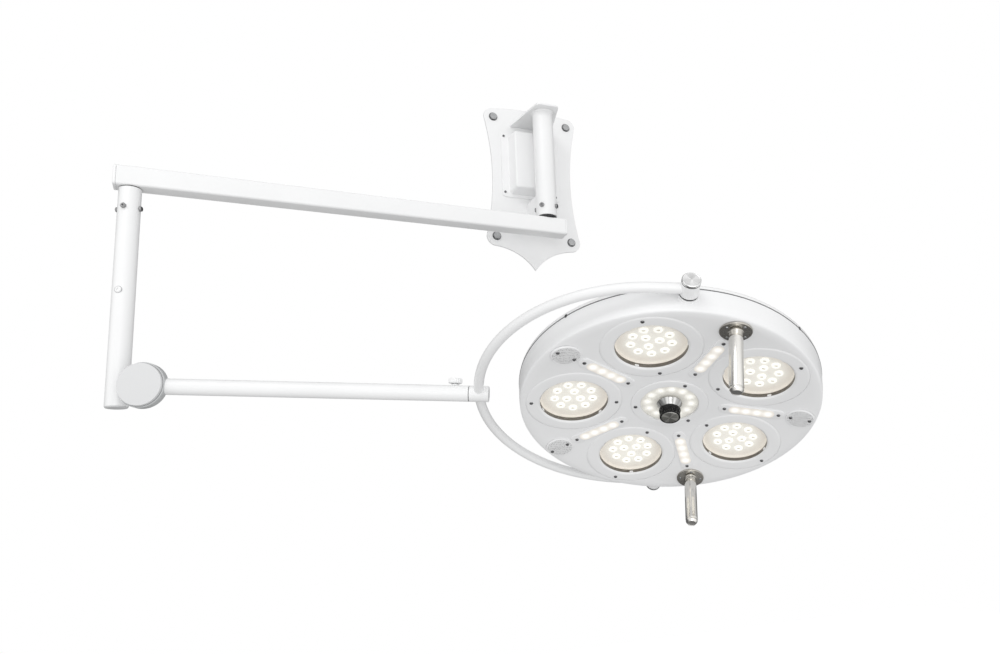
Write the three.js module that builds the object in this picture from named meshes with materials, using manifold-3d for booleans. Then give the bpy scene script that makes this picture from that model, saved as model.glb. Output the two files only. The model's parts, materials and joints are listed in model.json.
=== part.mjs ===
// Wall-mounted surgical light: a wall plate with a column, two swinging arms,
// a half-round bow and a round head with five light modules.
// Millimetres. +X runs right along the wall, +Y into the wall, +Z up.
// The origin is the centre of the wall plate's back face.
import * as THREE from 'three';
import { mergeVertices } from 'three/addons/utils/BufferGeometryUtils.js';
import Module from 'manifold-3d';

const wasm = await Module();
wasm.setup();

// ---- driving dimensions ----
const GAP = 0.3;                     // clearance between meshes that touch
const RAD = Math.PI / 180;
const EDGE = 1;                      // small chamfer on turned edges
const PAST = 10;                     // how far a cutting shape runs past the body it cuts

// rest pose of the joints, degrees
const ARM_ONE_YAW = 1.94;            // from parallel to the wall, into the room
const ARM_TWO_YAW = -21.4;           // arm 2 against +X, seen from above
const ARM_TWO_DIP = 4.185;           // below level
const BOW_ROLL = 27.56;              // upper pivot raised above level
const HEAD_TILT = 1.36;
const PATTERN_TURN = 1.67;           // light pattern against the pivot axis

// wall plate and bracket
const PLATE_THICK = 6;
const BOLT_X = 104;
const BOLT_Z = 168;
const LUG_RADIUS = 26;
const PLATE_WAIST = 110;             // half width at mid height
const PLATE_TIP = 255;               // depth of the bottom point
const PLATE_CROWN = 6;               // rise of the top edge
const PLATE_TIP_X = 36.4;            // pull of the curves that meet in the point
const PLATE_TIP_Z = 202;
const BOLT_HOLE_RADIUS = 6.5;
const BOLT_SHANK_RADIUS = 5.5;
const BOLT_HEAD_RADIUS = 10.2;       // across the corners
const BOLT_HEAD_THICK = 4.5;
const COLUMN_STANDOFF = 101.5;       // column axis from the wall
const COLUMN_RADIUS = 26.3;
const COLUMN_BORE = 22.3;
const COLUMN_TOP = 145;
const COLUMN_BOTTOM = -142;
const BRACKET_THICK = 5;
const BRACKET_FRONT = 146;           // front edge of the top plate from the wall
const BRACKET_BACK_X = 59;
const BRACKET_FRONT_X = 29;
const BRACKET_CORNER = 14;
const BRACKET_FLARE = 3;
const LOWER_BLOCK_WIDTH = 38;
const LOWER_BLOCK_TOP = -75;
const LOWER_BLOCK_BOTTOM = -130;

// cover over the lamp driver
const COVER_CENTRE_X = -4;
const COVER_CENTRE_Z = 35;
const COVER_HALF_WIDTH = 61;
const COVER_HALF_HEIGHT = 84;
const COVER_DEPTH = 44;
const COVER_DRAFT = 5;
const COVER_WALL = 2;
const COVER_CORNER = 10;
const COVER_FLANGE_X = 81;
const COVER_FLANGE_Z = 92;
const DRIVER_WIDTH = 74;
const DRIVER_DEPTH = 30;
const DRIVER_HEIGHT = 130;

// arm 1, square tube
const ARM_ONE_Z = -168.4;
const ARM_ONE_LENGTH = 914.4;        // column axis to drop tube axis
const ARM_ONE_SIDE = 42;
const ARM_ONE_CORNER = 5;
const ARM_ONE_WALL = 3;
const ARM_ONE_INNER_END = 47.5;      // beyond the column axis
const ARM_ONE_OUTER_END = 31;        // beyond the drop tube axis
const END_CAP_THICK = 5.7;
const END_CAP_EDGE = 1.5;
const END_CAP_PLUG = 10;
const SPIGOT_RADIUS = 14;
const COLLAR_RADIUS = 17;
const COLLAR_THICK = 5;
const BUSH_LENGTH = 42;
const BUSH_FLANGE = 1.9;             // overhang past the bore

// drop tube and the hinge at its foot
const DROP_RADIUS = 20.8;
const DROP_BORE = 17.2;
const DROP_TOP = 23.2;               // below the arm 1 axis
const DROP_LENGTH = 469.5;           // from the arm 1 axis down to its foot
const FOOT_THICK = 2;
const FOOT_PLUG = 12;
const HINGE_OUT = 60.4;              // hinge axis from the drop tube axis
const HINGE_DROP = 434.4;            // hinge axis below the arm 1 axis
const HINGE_FRONT = 18;              // arm 2 plane in front of the drop tube axis
const HINGE_GAP = 2.2;               // between lug and drum, filled by the washer
const DRUM_RADIUS = 44;
const DRUM_FRONT = 17;               // front of the drum before the arm 2 plane
const DRUM_BACK = -0.5;              // its back, behind the arm 2 plane
const DRUM_WALL = 4;
const DRUM_OVERLAP = 9.2;            // arm 2 let into the drum's rim
const HUB_RADIUS = 18;
const HUB_FRONT = 15;
const DISC_RADIUS = 41;
const DISC_THICK = 7.5;
const AXLE_RADIUS = 10;
const AXLE_HEAD = 5;                 // overhang and thickness of its head
const AXLE_INSET = 2;
const LUG_HALF_HEIGHT = 24;
const LUG_THICK = 19;

// arm 2, round tube, and the coupling at its end
const ARM_TWO_RADIUS = 15.7;
const ARM_TWO_BORE = 12.4;
const ARM_TWO_FLOOR = 4;             // closed end inside the drum
const COUPLING_AT = 616.2;           // hinge axis to the joint face
const COUPLING_LENGTH = 38.5;
const PLUG_LENGTH = 56;              // coupling inside arm 2
const CLAMP_AT = 588.7;
const CLAMP_RADIUS = 13.5;
const CLAMP_LOBES = 12;
const CLAMP_LOBE_DEPTH = 1.2;
const CLAMP_BOTTOM = 19;
const CLAMP_TOP = 29;
const CLAMP_SCREW_RADIUS = 5;

// bow: a half circle with two straight legs
const BOW_TUBE_RADIUS = 9.5;
const BOW_RADIUS = 312.2;
const BOW_LEG = 61;
const BOW_APEX = 19.6;               // apex from the joint face
const LEG_SOCKET = 10.5;             // leg end from the pivot axis

// head pivots
const RING_INNER_FACE = 297.5;
const RING_THICK = 3.2;
const HOUSING_RADIUS = 16.5;
const HOUSING_START = 301;
const HOUSING_END = 329;
const HOUSING_FLOOR = 5;
const PIVOT_CAP_THICK = 5;
const PIN_RADIUS = 8;
const PIN_HEAD_START = 277;
const PIN_HEAD_THICK = 6;
const PIN_HEAD_OVER = 4;

// head, measured from the face plane towards its back
const FACE_BELOW_PIVOT = 26.75;
const HEAD_RADIUS = 297;
const RIM_RADIUS = 286;
const DISH_CENTRE = 14.2;            // depth of the concave face at its centre
const DISH_TWICE_RADIUS = 4118;      // twice the face's radius of curvature
const SEAM_HEIGHT = 42;
const SHELL = 3;
const FACE_SHELL = 4;
const COVER_HEIGHT = 88;
const PAN_HEIGHT = 24;
const PAN_RADIUS = 262;
const PAN_THICK = 2;

// light modules and the fittings on the face
const MODULE_CIRCLE = 187;
const MODULE_HEIGHT = 2.6;
const MODULE_LEAN = 5.2;
const MODULE_RADIUS = 93.5;
const MODULE_OPENING = 66.3;
const MODULE_HOLE = 70.5;
const BEZEL_THICK = 2.4;
const BEZEL_SLEEVE = 10;
const LIP_WIDTH = 3.6;               // sloping lip round the opening
const LIP_DEPTH = 2.8;
const LENS_RECESS = 7;
const LENS_THICK = 2.5;
const CENTRE_HEIGHT = 11;            // front of the centre ring
const CENTRE_SEAT = 14.2;            // its back, let into the dish
const CENTRE_SLEEVE = 7;
const CENTRE_RECESS = 3;             // from the ring to its window
const CENTRE_RADIUS = 76;
const CENTRE_OPENING = 57;
const CENTRE_HOLE = 61;
const CONE_LARGE = 25;
const CONE_SMALL = 16.5;
const KNOB_STEM = 12;
const KNOB_RADIUS = 20;
const KNOB_TOP = -1;
const KNOB_BOTTOM = -20;
const FITTING_CIRCLE = 258.5;
const FITTING_LEAN = 8.5;
const FITTING_STANDOFF = 1;
const FITTING_SEAT = -0.2;
const GRILLE_RADIUS = 28;
const FLANGE_RADIUS = 29;
const FLANGE_THICK = 3;
const HANDLE_LENGTH = 121.5;
const GRIP_RADIUS = 12.7;
const HUB_LARGE = 13.6;
const HUB_SMALL = 10.6;
const HUB_HEIGHT = 12;
const STUD_RADIUS = 8;
const STUD_END = 12;                 // stud tip from the far end of the sleeve
const SLEEVE_TIP = 4;                // chamfer at the far end

// facets round a turned shape
const TINY = 12;
const SMALL = 20;
const MEDIUM = 28;
const LARGE = 60;
const BOW_STEPS = 32;
const BOW_SIDES = 14;
const CORNER_STEPS = 3;
const CURVE_STEPS = 6;
const DISH_STEPS = 4;

// ---- materials ----
function finish(color, roughness, metalness) {
  return new THREE.MeshStandardMaterial({ color, roughness, metalness });
}
const white = () => finish(0xf2f3f3, 0.38, 0.0);
const greyFace = () => finish(0xc9cccd, 0.45, 0.0);
const steel = () => finish(0xb9bcbe, 0.3, 1.0);
const aluminium = () => finish(0xd2d4d5, 0.28, 1.0);
const rubber = () => finish(0x1c1d1f, 0.8, 0.0);
const glass = () => finish(0xe9f0f2, 0.08, 0.0);
const sheetAluminium = () => finish(0xd8dadb, 0.4, 1.0);
const blackPlastic = () => finish(0x232325, 0.35, 0.0);

// ---- geometry helpers ----
function lathe(points, segments) {
  const profile = points.map(([r, z]) => new THREE.Vector2(r, z));
  const shape = new THREE.LatheGeometry(profile, segments);
  return shape.rotateX(Math.PI / 2);
}

// a ring or disc about +Z from z0 to z1
function disc(outer, z0, z1, segments = SMALL, inner = 0) {
  const section = inner > 0
    ? [[inner, z0], [outer, z0], [outer, z1], [inner, z1], [inner, z0]]
    : [[0, z0], [outer, z0], [outer, z1], [0, z1]];
  return lathe(section, segments);
}

// turns a shape made about +Z so that its axis lies along +Y
function alongY(geometry) {
  return geometry.rotateX(-Math.PI / 2);
}

// turns a shape made about +Z so that its axis lies along +X
function alongX(geometry) {
  return geometry.rotateY(Math.PI / 2);
}

function toSolid(geometry) {
  const bare = geometry.clone();
  bare.deleteAttribute('normal');
  bare.deleteAttribute('uv');
  const welded = mergeVertices(bare, 1e-4);
  const mesh = new wasm.Mesh({
    numProp: 3,
    vertProperties: new Float32Array(welded.attributes.position.array),
    triVerts: new Uint32Array(welded.index.array),
  });
  mesh.merge();
  return new wasm.Manifold(mesh);
}

function fromSolid(solid) {
  const mesh = solid.getMesh();
  const geometry = new THREE.BufferGeometry();
  const positions = new THREE.BufferAttribute(new Float32Array(mesh.vertProperties), 3);
  geometry.setAttribute('position', positions);
  geometry.setIndex(new THREE.BufferAttribute(new Uint32Array(mesh.triVerts), 1));
  geometry.computeVertexNormals();
  return geometry;
}

function cut(geometry, ...tools) {
  const result = tools.reduce((body, tool) => body.subtract(toSolid(tool)), toSolid(geometry));
  return fromSolid(result);
}

function join(geometry, ...others) {
  const result = others.reduce((body, other) => body.add(toSolid(other)), toSolid(geometry));
  return fromSolid(result);
}

// a rectangle with rounded corners, about the origin
function roundedOutline(halfX, halfY, corner) {
  const shape = new THREE.Shape();
  const cx = halfX - corner;
  const cy = halfY - corner;
  shape.moveTo(-cx, -halfY);
  shape.absarc(cx, -cy, corner, -Math.PI / 2, 0);
  shape.absarc(cx, cy, corner, 0, Math.PI / 2);
  shape.absarc(-cx, cy, corner, Math.PI / 2, Math.PI);
  shape.absarc(-cx, -cy, corner, Math.PI, 1.5 * Math.PI);
  return shape;
}

function roundedSquare(side, corner) {
  const points = roundedOutline(side / 2, side / 2, corner).getPoints(CORNER_STEPS);
  return new THREE.Shape(points);
}

function add(parent, name, geometry, material) {
  const mesh = new THREE.Mesh(geometry, material);
  mesh.name = name;
  parent.add(mesh);
  return mesh;
}

function childGroup(parent, x, y, z) {
  const group = new THREE.Group();
  group.position.set(x, y, z);
  parent.add(group);
  return group;
}

const light = new THREE.Group();

// ---- wall plate and bracket ----
function plateOutline() {
  const shape = new THREE.Shape();
  const right = BOLT_X + LUG_RADIUS;
  const top = BOLT_Z + LUG_RADIUS;
  const lug = Math.PI / 2;
  shape.moveTo(-BOLT_X, top);
  shape.quadraticCurveTo(0, top + 2 * PLATE_CROWN, BOLT_X, top);
  shape.absarc(BOLT_X, BOLT_Z, LUG_RADIUS, lug, 0, true);
  shape.quadraticCurveTo(2 * PLATE_WAIST - right, 0, right, -BOLT_Z);
  shape.absarc(BOLT_X, -BOLT_Z, LUG_RADIUS, 0, -lug, true);
  shape.quadraticCurveTo(PLATE_TIP_X, -PLATE_TIP_Z, 0, -PLATE_TIP);
  shape.quadraticCurveTo(-PLATE_TIP_X, -PLATE_TIP_Z, -BOLT_X, -top);
  shape.absarc(-BOLT_X, -BOLT_Z, LUG_RADIUS, -lug, -2 * lug, true);
  shape.quadraticCurveTo(right - 2 * PLATE_WAIST, 0, -right, BOLT_Z);
  shape.absarc(-BOLT_X, BOLT_Z, LUG_RADIUS, 2 * lug, lug, true);
  return shape;
}

// an outline drawn in X and Z, given thickness from the plane y = front towards +Y
function standing(shape, front, thick, curveSegments) {
  const options = { depth: thick, bevelEnabled: false, curveSegments };
  const slab = new THREE.ExtrudeGeometry(shape, options);
  return slab.rotateX(Math.PI / 2).translate(0, front + thick, 0);
}

const boltPlaces = [[-1, 1], [1, 1], [-1, -1], [1, -1]];

function buildWallPlate() {
  const shape = plateOutline();
  for (const [sx, sz] of boltPlaces) {
    const hole = new THREE.Path();
    hole.absarc(sx * BOLT_X, sz * BOLT_Z, BOLT_HOLE_RADIUS, 0, 2 * Math.PI);
    shape.holes.push(hole);
  }
  add(light, 'wall_plate', standing(shape, -PLATE_THICK, PLATE_THICK, CURVE_STEPS), white());
}

function buildWallBolts() {
  boltPlaces.forEach(([sx, sz], index) => {
    const seat = PLATE_THICK + GAP;
    const shank = disc(BOLT_SHANK_RADIUS, GAP, seat + 1, TINY);
    const head = disc(BOLT_HEAD_RADIUS, seat, seat + BOLT_HEAD_THICK, 6);
    const bolt = join(shank, head);
    bolt.rotateX(Math.PI / 2).translate(sx * BOLT_X, 0, sz * BOLT_Z);
    add(light, `wall_bolt_${index + 1}`, bolt, steel());
  });
}

function buildBracket() {
  const back = -PLATE_THICK - GAP;
  const side = BRACKET_FRONT_X + BRACKET_FLARE;
  const corner = BRACKET_CORNER - BRACKET_FRONT;
  const flat = BRACKET_FRONT_X - BRACKET_CORNER;
  const shape = new THREE.Shape();
  shape.moveTo(-BRACKET_BACK_X, back);
  shape.lineTo(BRACKET_BACK_X, back);
  shape.lineTo(side, corner);
  shape.quadraticCurveTo(BRACKET_FRONT_X, -BRACKET_FRONT, flat, -BRACKET_FRONT);
  shape.lineTo(-flat, -BRACKET_FRONT);
  shape.quadraticCurveTo(-BRACKET_FRONT_X, -BRACKET_FRONT, -side, corner);
  const plate = new THREE.ExtrudeGeometry(shape, {
    depth: BRACKET_THICK,
    bevelEnabled: false,
    curveSegments: CURVE_STEPS,
  });
  add(light, 'bracket_top_plate', plate.translate(0, 0, COLUMN_TOP + GAP), white());

  const reach = COLUMN_STANDOFF + back;
  const height = LOWER_BLOCK_TOP - LOWER_BLOCK_BOTTOM;
  const block = new THREE.BoxGeometry(LOWER_BLOCK_WIDTH, reach, height);
  block.translate(0, back - reach / 2, LOWER_BLOCK_BOTTOM + height / 2);
  const room = disc(COLUMN_RADIUS + GAP, LOWER_BLOCK_BOTTOM - PAST, LOWER_BLOCK_TOP + PAST, MEDIUM);
  add(light, 'lower_bracket', cut(block, room.translate(0, -COLUMN_STANDOFF, 0)), white());
}

function buildColumn() {
  const tube = disc(COLUMN_RADIUS, COLUMN_BOTTOM, COLUMN_TOP, MEDIUM, COLUMN_BORE);
  add(light, 'column_tube', tube.translate(0, -COLUMN_STANDOFF, 0), white());
  const armTop = ARM_ONE_Z + ARM_ONE_SIDE / 2;
  const bush = flangedBush(COLUMN_BORE, COLUMN_BOTTOM, armTop + GAP);
  add(light, 'column_bush', bush.translate(0, -COLUMN_STANDOFF, 0), rubber());
}

// a sleeve inside a tube whose foot is at tubeEnd, with a flange down to flangeEnd
function flangedBush(bore, tubeEnd, flangeEnd) {
  const inner = SPIGOT_RADIUS + GAP;
  const outer = bore - GAP;
  return lathe([
    [inner, flangeEnd],
    [bore + BUSH_FLANGE, flangeEnd],
    [bore + BUSH_FLANGE, tubeEnd - GAP],
    [outer, tubeEnd - GAP],
    [outer, tubeEnd + BUSH_LENGTH],
    [inner, tubeEnd + BUSH_LENGTH],
    [inner, flangeEnd],
  ], SMALL);
}

// a plain pin with a collar that holds it behind the bush; the collar starts at z = collar
function spigot(start, collar) {
  const end = collar + COLLAR_THICK;
  return lathe([
    [0, start],
    [SPIGOT_RADIUS, start],
    [SPIGOT_RADIUS, collar],
    [COLLAR_RADIUS, collar],
    [COLLAR_RADIUS, end],
    [0, end],
  ], SMALL);
}

// narrows a slab standing on y = 0 by draft at y = -depth
function taper(geometry, depth, draft, halfX, halfZ) {
  const position = geometry.attributes.position;
  for (let i = 0; i < position.count; i += 1) {
    const share = -position.getY(i) / depth;
    position.setX(i, position.getX(i) * (1 - (share * draft) / halfX));
    position.setZ(i, position.getZ(i) * (1 - (share * draft) / halfZ));
  }
  return geometry;
}

function coverSlab(inset, depth) {
  const halfX = COVER_HALF_WIDTH - inset;
  const halfZ = COVER_HALF_HEIGHT - inset;
  const slab = standing(roundedOutline(halfX, halfZ, COVER_CORNER - inset), -depth, depth, CORNER_STEPS);
  return taper(slab, COVER_DEPTH, COVER_DRAFT, halfX, halfZ);
}

function buildDriverBox() {
  const flange = roundedOutline(COVER_FLANGE_X, COVER_FLANGE_Z, COVER_CORNER);
  const plate = standing(flange, -COVER_WALL, COVER_WALL, CORNER_STEPS);
  const hollow = coverSlab(COVER_WALL, COVER_DEPTH - COVER_WALL).translate(0, GAP, 0);
  const cover = cut(join(plate, coverSlab(0, COVER_DEPTH)), hollow);
  const seat = -PLATE_THICK - GAP;
  add(light, 'driver_cover', cover.translate(COVER_CENTRE_X, seat, COVER_CENTRE_Z), white());

  const driver = new THREE.BoxGeometry(DRIVER_WIDTH, DRIVER_DEPTH, DRIVER_HEIGHT);
  driver.translate(COVER_CENTRE_X, seat - DRIVER_DEPTH / 2, COVER_CENTRE_Z);
  add(light, 'led_driver', driver, greyFace());
}

// ---- arm 1 ----
function buildArmOne(arm) {
  const shape = roundedSquare(ARM_ONE_SIDE, ARM_ONE_CORNER);
  const inner = ARM_ONE_SIDE - 2 * ARM_ONE_WALL;
  shape.holes.push(roundedSquare(inner, ARM_ONE_CORNER - ARM_ONE_WALL));
  const start = -ARM_ONE_INNER_END + END_CAP_THICK + GAP;
  const end = ARM_ONE_LENGTH + ARM_ONE_OUTER_END - END_CAP_THICK - GAP;
  const tube = new THREE.ExtrudeGeometry(shape, { depth: end - start, bevelEnabled: false });
  alongX(tube).translate(start, 0, 0);
  const hole = () => disc(SPIGOT_RADIUS + GAP, 0, ARM_ONE_SIDE, SMALL);
  const drilled = cut(tube, hole(), hole().translate(ARM_ONE_LENGTH, 0, -ARM_ONE_SIDE));
  add(arm, 'arm_1_tube', drilled, white());

  add(arm, 'arm_1_inner_cap', endCap().rotateY(Math.PI).translate(start - GAP, 0, 0), white());
  add(arm, 'arm_1_outer_cap', endCap().translate(end + GAP, 0, 0), white());

  const floor = ARM_ONE_SIDE / 2 - ARM_ONE_WALL - GAP;
  const upperCollar = COLUMN_BOTTOM + BUSH_LENGTH + GAP - ARM_ONE_Z;
  add(arm, 'arm_1_spigot', spigot(-floor, upperCollar), steel());
  const lowerCollar = DROP_TOP + BUSH_LENGTH + GAP;
  const hanging = spigot(-floor, lowerCollar).rotateX(Math.PI);
  add(arm, 'drop_spigot', hanging.translate(ARM_ONE_LENGTH, 0, 0), steel());
}

// a cap about the X axis: its plate spans x = 0 to END_CAP_THICK, its plug points to -X
function endCap() {
  const flat = roundedSquare(ARM_ONE_SIDE - 2 * END_CAP_EDGE, ARM_ONE_CORNER - END_CAP_EDGE);
  const plate = new THREE.ExtrudeGeometry(flat, {
    depth: END_CAP_THICK - 2 * END_CAP_EDGE,
    bevelSize: END_CAP_EDGE,
    bevelThickness: END_CAP_EDGE,
    bevelSegments: 1,
  });
  plate.translate(0, 0, END_CAP_EDGE);
  const plugSide = ARM_ONE_SIDE - 2 * (ARM_ONE_WALL + GAP);
  const plugShape = roundedSquare(plugSide, ARM_ONE_CORNER - ARM_ONE_WALL);
  const plug = new THREE.ExtrudeGeometry(plugShape, {
    depth: END_CAP_PLUG + END_CAP_EDGE,
    bevelEnabled: false,
  });
  return alongX(join(plate, plug.translate(0, 0, -END_CAP_PLUG)));
}

// ---- drop tube with the fixed half of the hinge ----
function buildDrop(drop) {
  const tube = disc(DROP_RADIUS, -DROP_LENGTH, -DROP_TOP, MEDIUM, DROP_BORE);
  add(drop, 'drop_tube', tube, white());
  const flangeTop = ARM_ONE_SIDE / 2 + GAP;
  const bush = flangedBush(DROP_BORE, DROP_TOP, flangeTop).rotateX(Math.PI);
  add(drop, 'drop_bush', bush, rubber());
  const plug = lathe([
    [0, -DROP_LENGTH - FOOT_THICK],
    [DROP_RADIUS - EDGE, -DROP_LENGTH - FOOT_THICK],
    [DROP_RADIUS, -DROP_LENGTH - GAP],
    [DROP_BORE - GAP, -DROP_LENGTH - GAP],
    [DROP_BORE - GAP, -DROP_LENGTH + FOOT_PLUG],
    [0, -DROP_LENGTH + FOOT_PLUG],
  ], SMALL);
  add(drop, 'drop_foot_plug', plug, rubber());

  const outline = new THREE.Shape();
  outline.moveTo(0, -LUG_HALF_HEIGHT);
  outline.lineTo(HINGE_OUT, -LUG_HALF_HEIGHT);
  outline.absarc(HINGE_OUT, 0, LUG_HALF_HEIGHT, -Math.PI / 2, Math.PI / 2);
  outline.lineTo(0, LUG_HALF_HEIGHT);
  const drumBack = -HINGE_FRONT - DRUM_BACK;
  const lugFront = drumBack + HINGE_GAP;
  const lugBack = lugFront + LUG_THICK;
  const plate = standing(outline, lugFront, LUG_THICK, TINY);
  const room = disc(DROP_RADIUS + GAP, -LUG_HALF_HEIGHT - PAST, LUG_HALF_HEIGHT + PAST, MEDIUM);
  const bore = alongY(disc(AXLE_RADIUS + GAP, lugFront - PAST, lugBack + PAST));
  const lug = cut(plate, room, bore.translate(HINGE_OUT, 0, 0));
  add(drop, 'hinge_lug', lug.translate(0, 0, -HINGE_DROP), white());

  const axleFront = AXLE_INSET - HINGE_FRONT - HUB_FRONT;
  const axle = alongY(lathe([
    [0, axleFront],
    [AXLE_RADIUS, axleFront],
    [AXLE_RADIUS, lugBack + GAP],
    [AXLE_RADIUS + AXLE_HEAD, lugBack + GAP],
    [AXLE_RADIUS + AXLE_HEAD, lugBack + AXLE_HEAD],
    [0, lugBack + AXLE_HEAD],
  ], SMALL));
  add(drop, 'hinge_axle', axle.translate(HINGE_OUT, 0, -HINGE_DROP), steel());
  const outer = LUG_HALF_HEIGHT - EDGE;
  const washer = alongY(disc(outer, drumBack + GAP, lugFront - GAP, SMALL, AXLE_RADIUS + GAP));
  add(drop, 'hinge_washer', washer.translate(HINGE_OUT, 0, -HINGE_DROP), rubber());
}

// ---- arm 2 with the moving half of the hinge ----
function buildArmTwo(arm) {
  const start = DRUM_RADIUS - DRUM_OVERLAP;
  const drum = alongY(lathe([
    [AXLE_RADIUS + GAP, -DRUM_BACK],
    [DRUM_RADIUS - EDGE, -DRUM_BACK],
    [DRUM_RADIUS, -DRUM_BACK - EDGE],
    [DRUM_RADIUS, EDGE - DRUM_FRONT],
    [DRUM_RADIUS - EDGE, -DRUM_FRONT],
    [DRUM_RADIUS - DRUM_WALL, -DRUM_FRONT],
    [DRUM_RADIUS - DRUM_WALL, -DRUM_BACK - DRUM_WALL],
    [HUB_RADIUS, -DRUM_BACK - DRUM_WALL],
    [HUB_RADIUS, -HUB_FRONT],
    [AXLE_RADIUS + GAP, -HUB_FRONT],
    [AXLE_RADIUS + GAP, -DRUM_BACK],
  ].reverse(), MEDIUM));
  const room = alongX(disc(ARM_TWO_RADIUS + GAP, start - GAP, DRUM_RADIUS + PAST));
  add(arm, 'hinge_drum', cut(drum, room), white());
  const front = -DRUM_FRONT - GAP;
  const cover = alongY(lathe([
    [0, front - DISC_THICK],
    [DISC_RADIUS - EDGE, front - DISC_THICK],
    [DISC_RADIUS, front - DISC_THICK + EDGE],
    [DISC_RADIUS, front],
    [0, front],
  ], MEDIUM));
  add(arm, 'hinge_cover', cover, greyFace());

  const tube = alongX(lathe([
    [0, start],
    [ARM_TWO_RADIUS, start],
    [ARM_TWO_RADIUS, COUPLING_AT],
    [ARM_TWO_BORE, COUPLING_AT],
    [ARM_TWO_BORE, start + ARM_TWO_FLOOR],
    [0, start + ARM_TWO_FLOOR],
  ], SMALL));
  const tapped = disc(CLAMP_SCREW_RADIUS + GAP, 0, 2 * ARM_TWO_RADIUS, TINY);
  add(arm, 'arm_2_tube', cut(tube, tapped.translate(CLAMP_AT, 0, 0)), white());
}

function buildClampKnob(arm) {
  const stem = disc(CLAMP_SCREW_RADIUS, ARM_TWO_BORE, CLAMP_BOTTOM + EDGE, TINY);
  const steps = CLAMP_LOBES * 4;
  const outline = [];
  for (let i = 0; i < steps; i += 1) {
    const angle = (i / steps) * 2 * Math.PI;
    const dip = (1 - Math.cos(CLAMP_LOBES * angle)) / 2;
    const radius = CLAMP_RADIUS - CLAMP_LOBE_DEPTH * dip;
    outline.push(new THREE.Vector2(radius * Math.cos(angle), radius * Math.sin(angle)));
  }
  const grip = new THREE.ExtrudeGeometry(new THREE.Shape(outline), {
    depth: CLAMP_TOP - CLAMP_BOTTOM - 2 * EDGE,
    bevelSize: EDGE,
    bevelThickness: EDGE,
    bevelOffset: -EDGE,
    bevelSegments: 1,
  });
  const knob = join(stem, grip.translate(0, 0, CLAMP_BOTTOM + EDGE));
  add(arm, 'clamp_knob', knob.translate(CLAMP_AT, 0, 0), white());
}

// ---- bow ----
// the bow as a swept round bar, from a leg end at +Y round to -Y
function bowBar(radius, legEnd) {
  const bend = new THREE.EllipseCurve(-BOW_LEG, 0, BOW_RADIUS, BOW_RADIUS, Math.PI / 2, 1.5 * Math.PI);
  const points = [new THREE.Vector3(legEnd, BOW_RADIUS, 0)];
  for (const point of bend.getPoints(BOW_STEPS)) {
    points.push(new THREE.Vector3(point.x, point.y, 0));
  }
  points.push(new THREE.Vector3(legEnd, -BOW_RADIUS, 0));
  return sweep(points, radius, BOW_SIDES);
}

// a round bar along a polyline that lies in the XY plane, mitred at each point
function sweep(points, radius, sides) {
  const positions = [];
  const index = [];
  points.forEach((point, i) => {
    const before = points[Math.max(i - 1, 0)];
    const after = points[Math.min(i + 1, points.length - 1)];
    const along = after.clone().sub(before).normalize();
    const across = new THREE.Vector3(-along.y, along.x, 0);
    for (let k = 0; k < sides; k += 1) {
      const angle = (k / sides) * 2 * Math.PI;
      const out = across.clone().multiplyScalar(radius * Math.cos(angle));
      out.z = radius * Math.sin(angle);
      out.add(point);
      positions.push(out.x, out.y, out.z);
    }
  });
  const last = (points.length - 1) * sides;
  for (let i = 0; i + 1 < points.length; i += 1) {
    for (let k = 0; k < sides; k += 1) {
      const a = i * sides + k;
      const b = i * sides + ((k + 1) % sides);
      index.push(a, b, a + sides, b, b + sides, a + sides);
    }
  }
  for (let k = 1; k + 1 < sides; k += 1) {
    index.push(0, k + 1, k);
    index.push(last, last + k, last + k + 1);
  }
  const bar = new THREE.BufferGeometry();
  bar.setAttribute('position', new THREE.Float32BufferAttribute(positions, 3));
  bar.setIndex(index);
  bar.computeVertexNormals();
  return bar;
}

function buildBow(bow) {
  const legEnd = -LEG_SOCKET;
  add(bow, 'bow_tube', bowBar(BOW_TUBE_RADIUS, legEnd), white());

  const face = -BOW_LEG - BOW_RADIUS - BOW_APEX + GAP;
  const far = face + COUPLING_LENGTH;
  const coupling = alongX(lathe([
    [0, face - PLUG_LENGTH],
    [ARM_TWO_BORE - GAP, face - PLUG_LENGTH],
    [ARM_TWO_BORE - GAP, face],
    [ARM_TWO_RADIUS, face],
    [ARM_TWO_RADIUS, far - EDGE],
    [ARM_TWO_RADIUS - EDGE, far],
    [0, far],
  ], SMALL));
  const room = bowBar(BOW_TUBE_RADIUS + GAP, legEnd);
  add(bow, 'bow_coupling', cut(coupling, room), white());

  [['upper', 1], ['lower', -1]].forEach(([label, side]) => {
    buildPivotHousing(bow, label, side);
  });
}

// shapes made along +Y on the lower side are turned about Z for the upper side
function placeOnSide(geometry, side) {
  return side > 0 ? geometry.rotateZ(Math.PI) : geometry;
}

function buildPivotHousing(bow, label, side) {
  const housing = alongY(lathe([
    [PIN_RADIUS + GAP, HOUSING_START],
    [HOUSING_RADIUS, HOUSING_START],
    [HOUSING_RADIUS, HOUSING_END],
    [0, HOUSING_END],
    [0, HOUSING_END - HOUSING_FLOOR],
    [PIN_RADIUS + GAP, HOUSING_END - HOUSING_FLOOR],
    [PIN_RADIUS + GAP, HOUSING_START],
  ], SMALL));
  const socket = alongX(disc(BOW_TUBE_RADIUS + GAP, -HOUSING_RADIUS - PAST, GAP - LEG_SOCKET));
  socket.translate(0, -side * BOW_RADIUS, 0);
  const body = cut(placeOnSide(housing, side), socket);
  add(bow, `${label}_pivot_housing`, body, white());

  const capStart = HOUSING_END + GAP;
  const capEnd = capStart + PIVOT_CAP_THICK;
  const cap = alongY(lathe([
    [0, capStart],
    [HOUSING_RADIUS, capStart],
    [HOUSING_RADIUS, capEnd - EDGE],
    [HOUSING_RADIUS - EDGE, capEnd],
    [0, capEnd],
  ], SMALL));
  add(bow, `${label}_pivot_cap`, placeOnSide(cap, side), aluminium());
}

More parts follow.
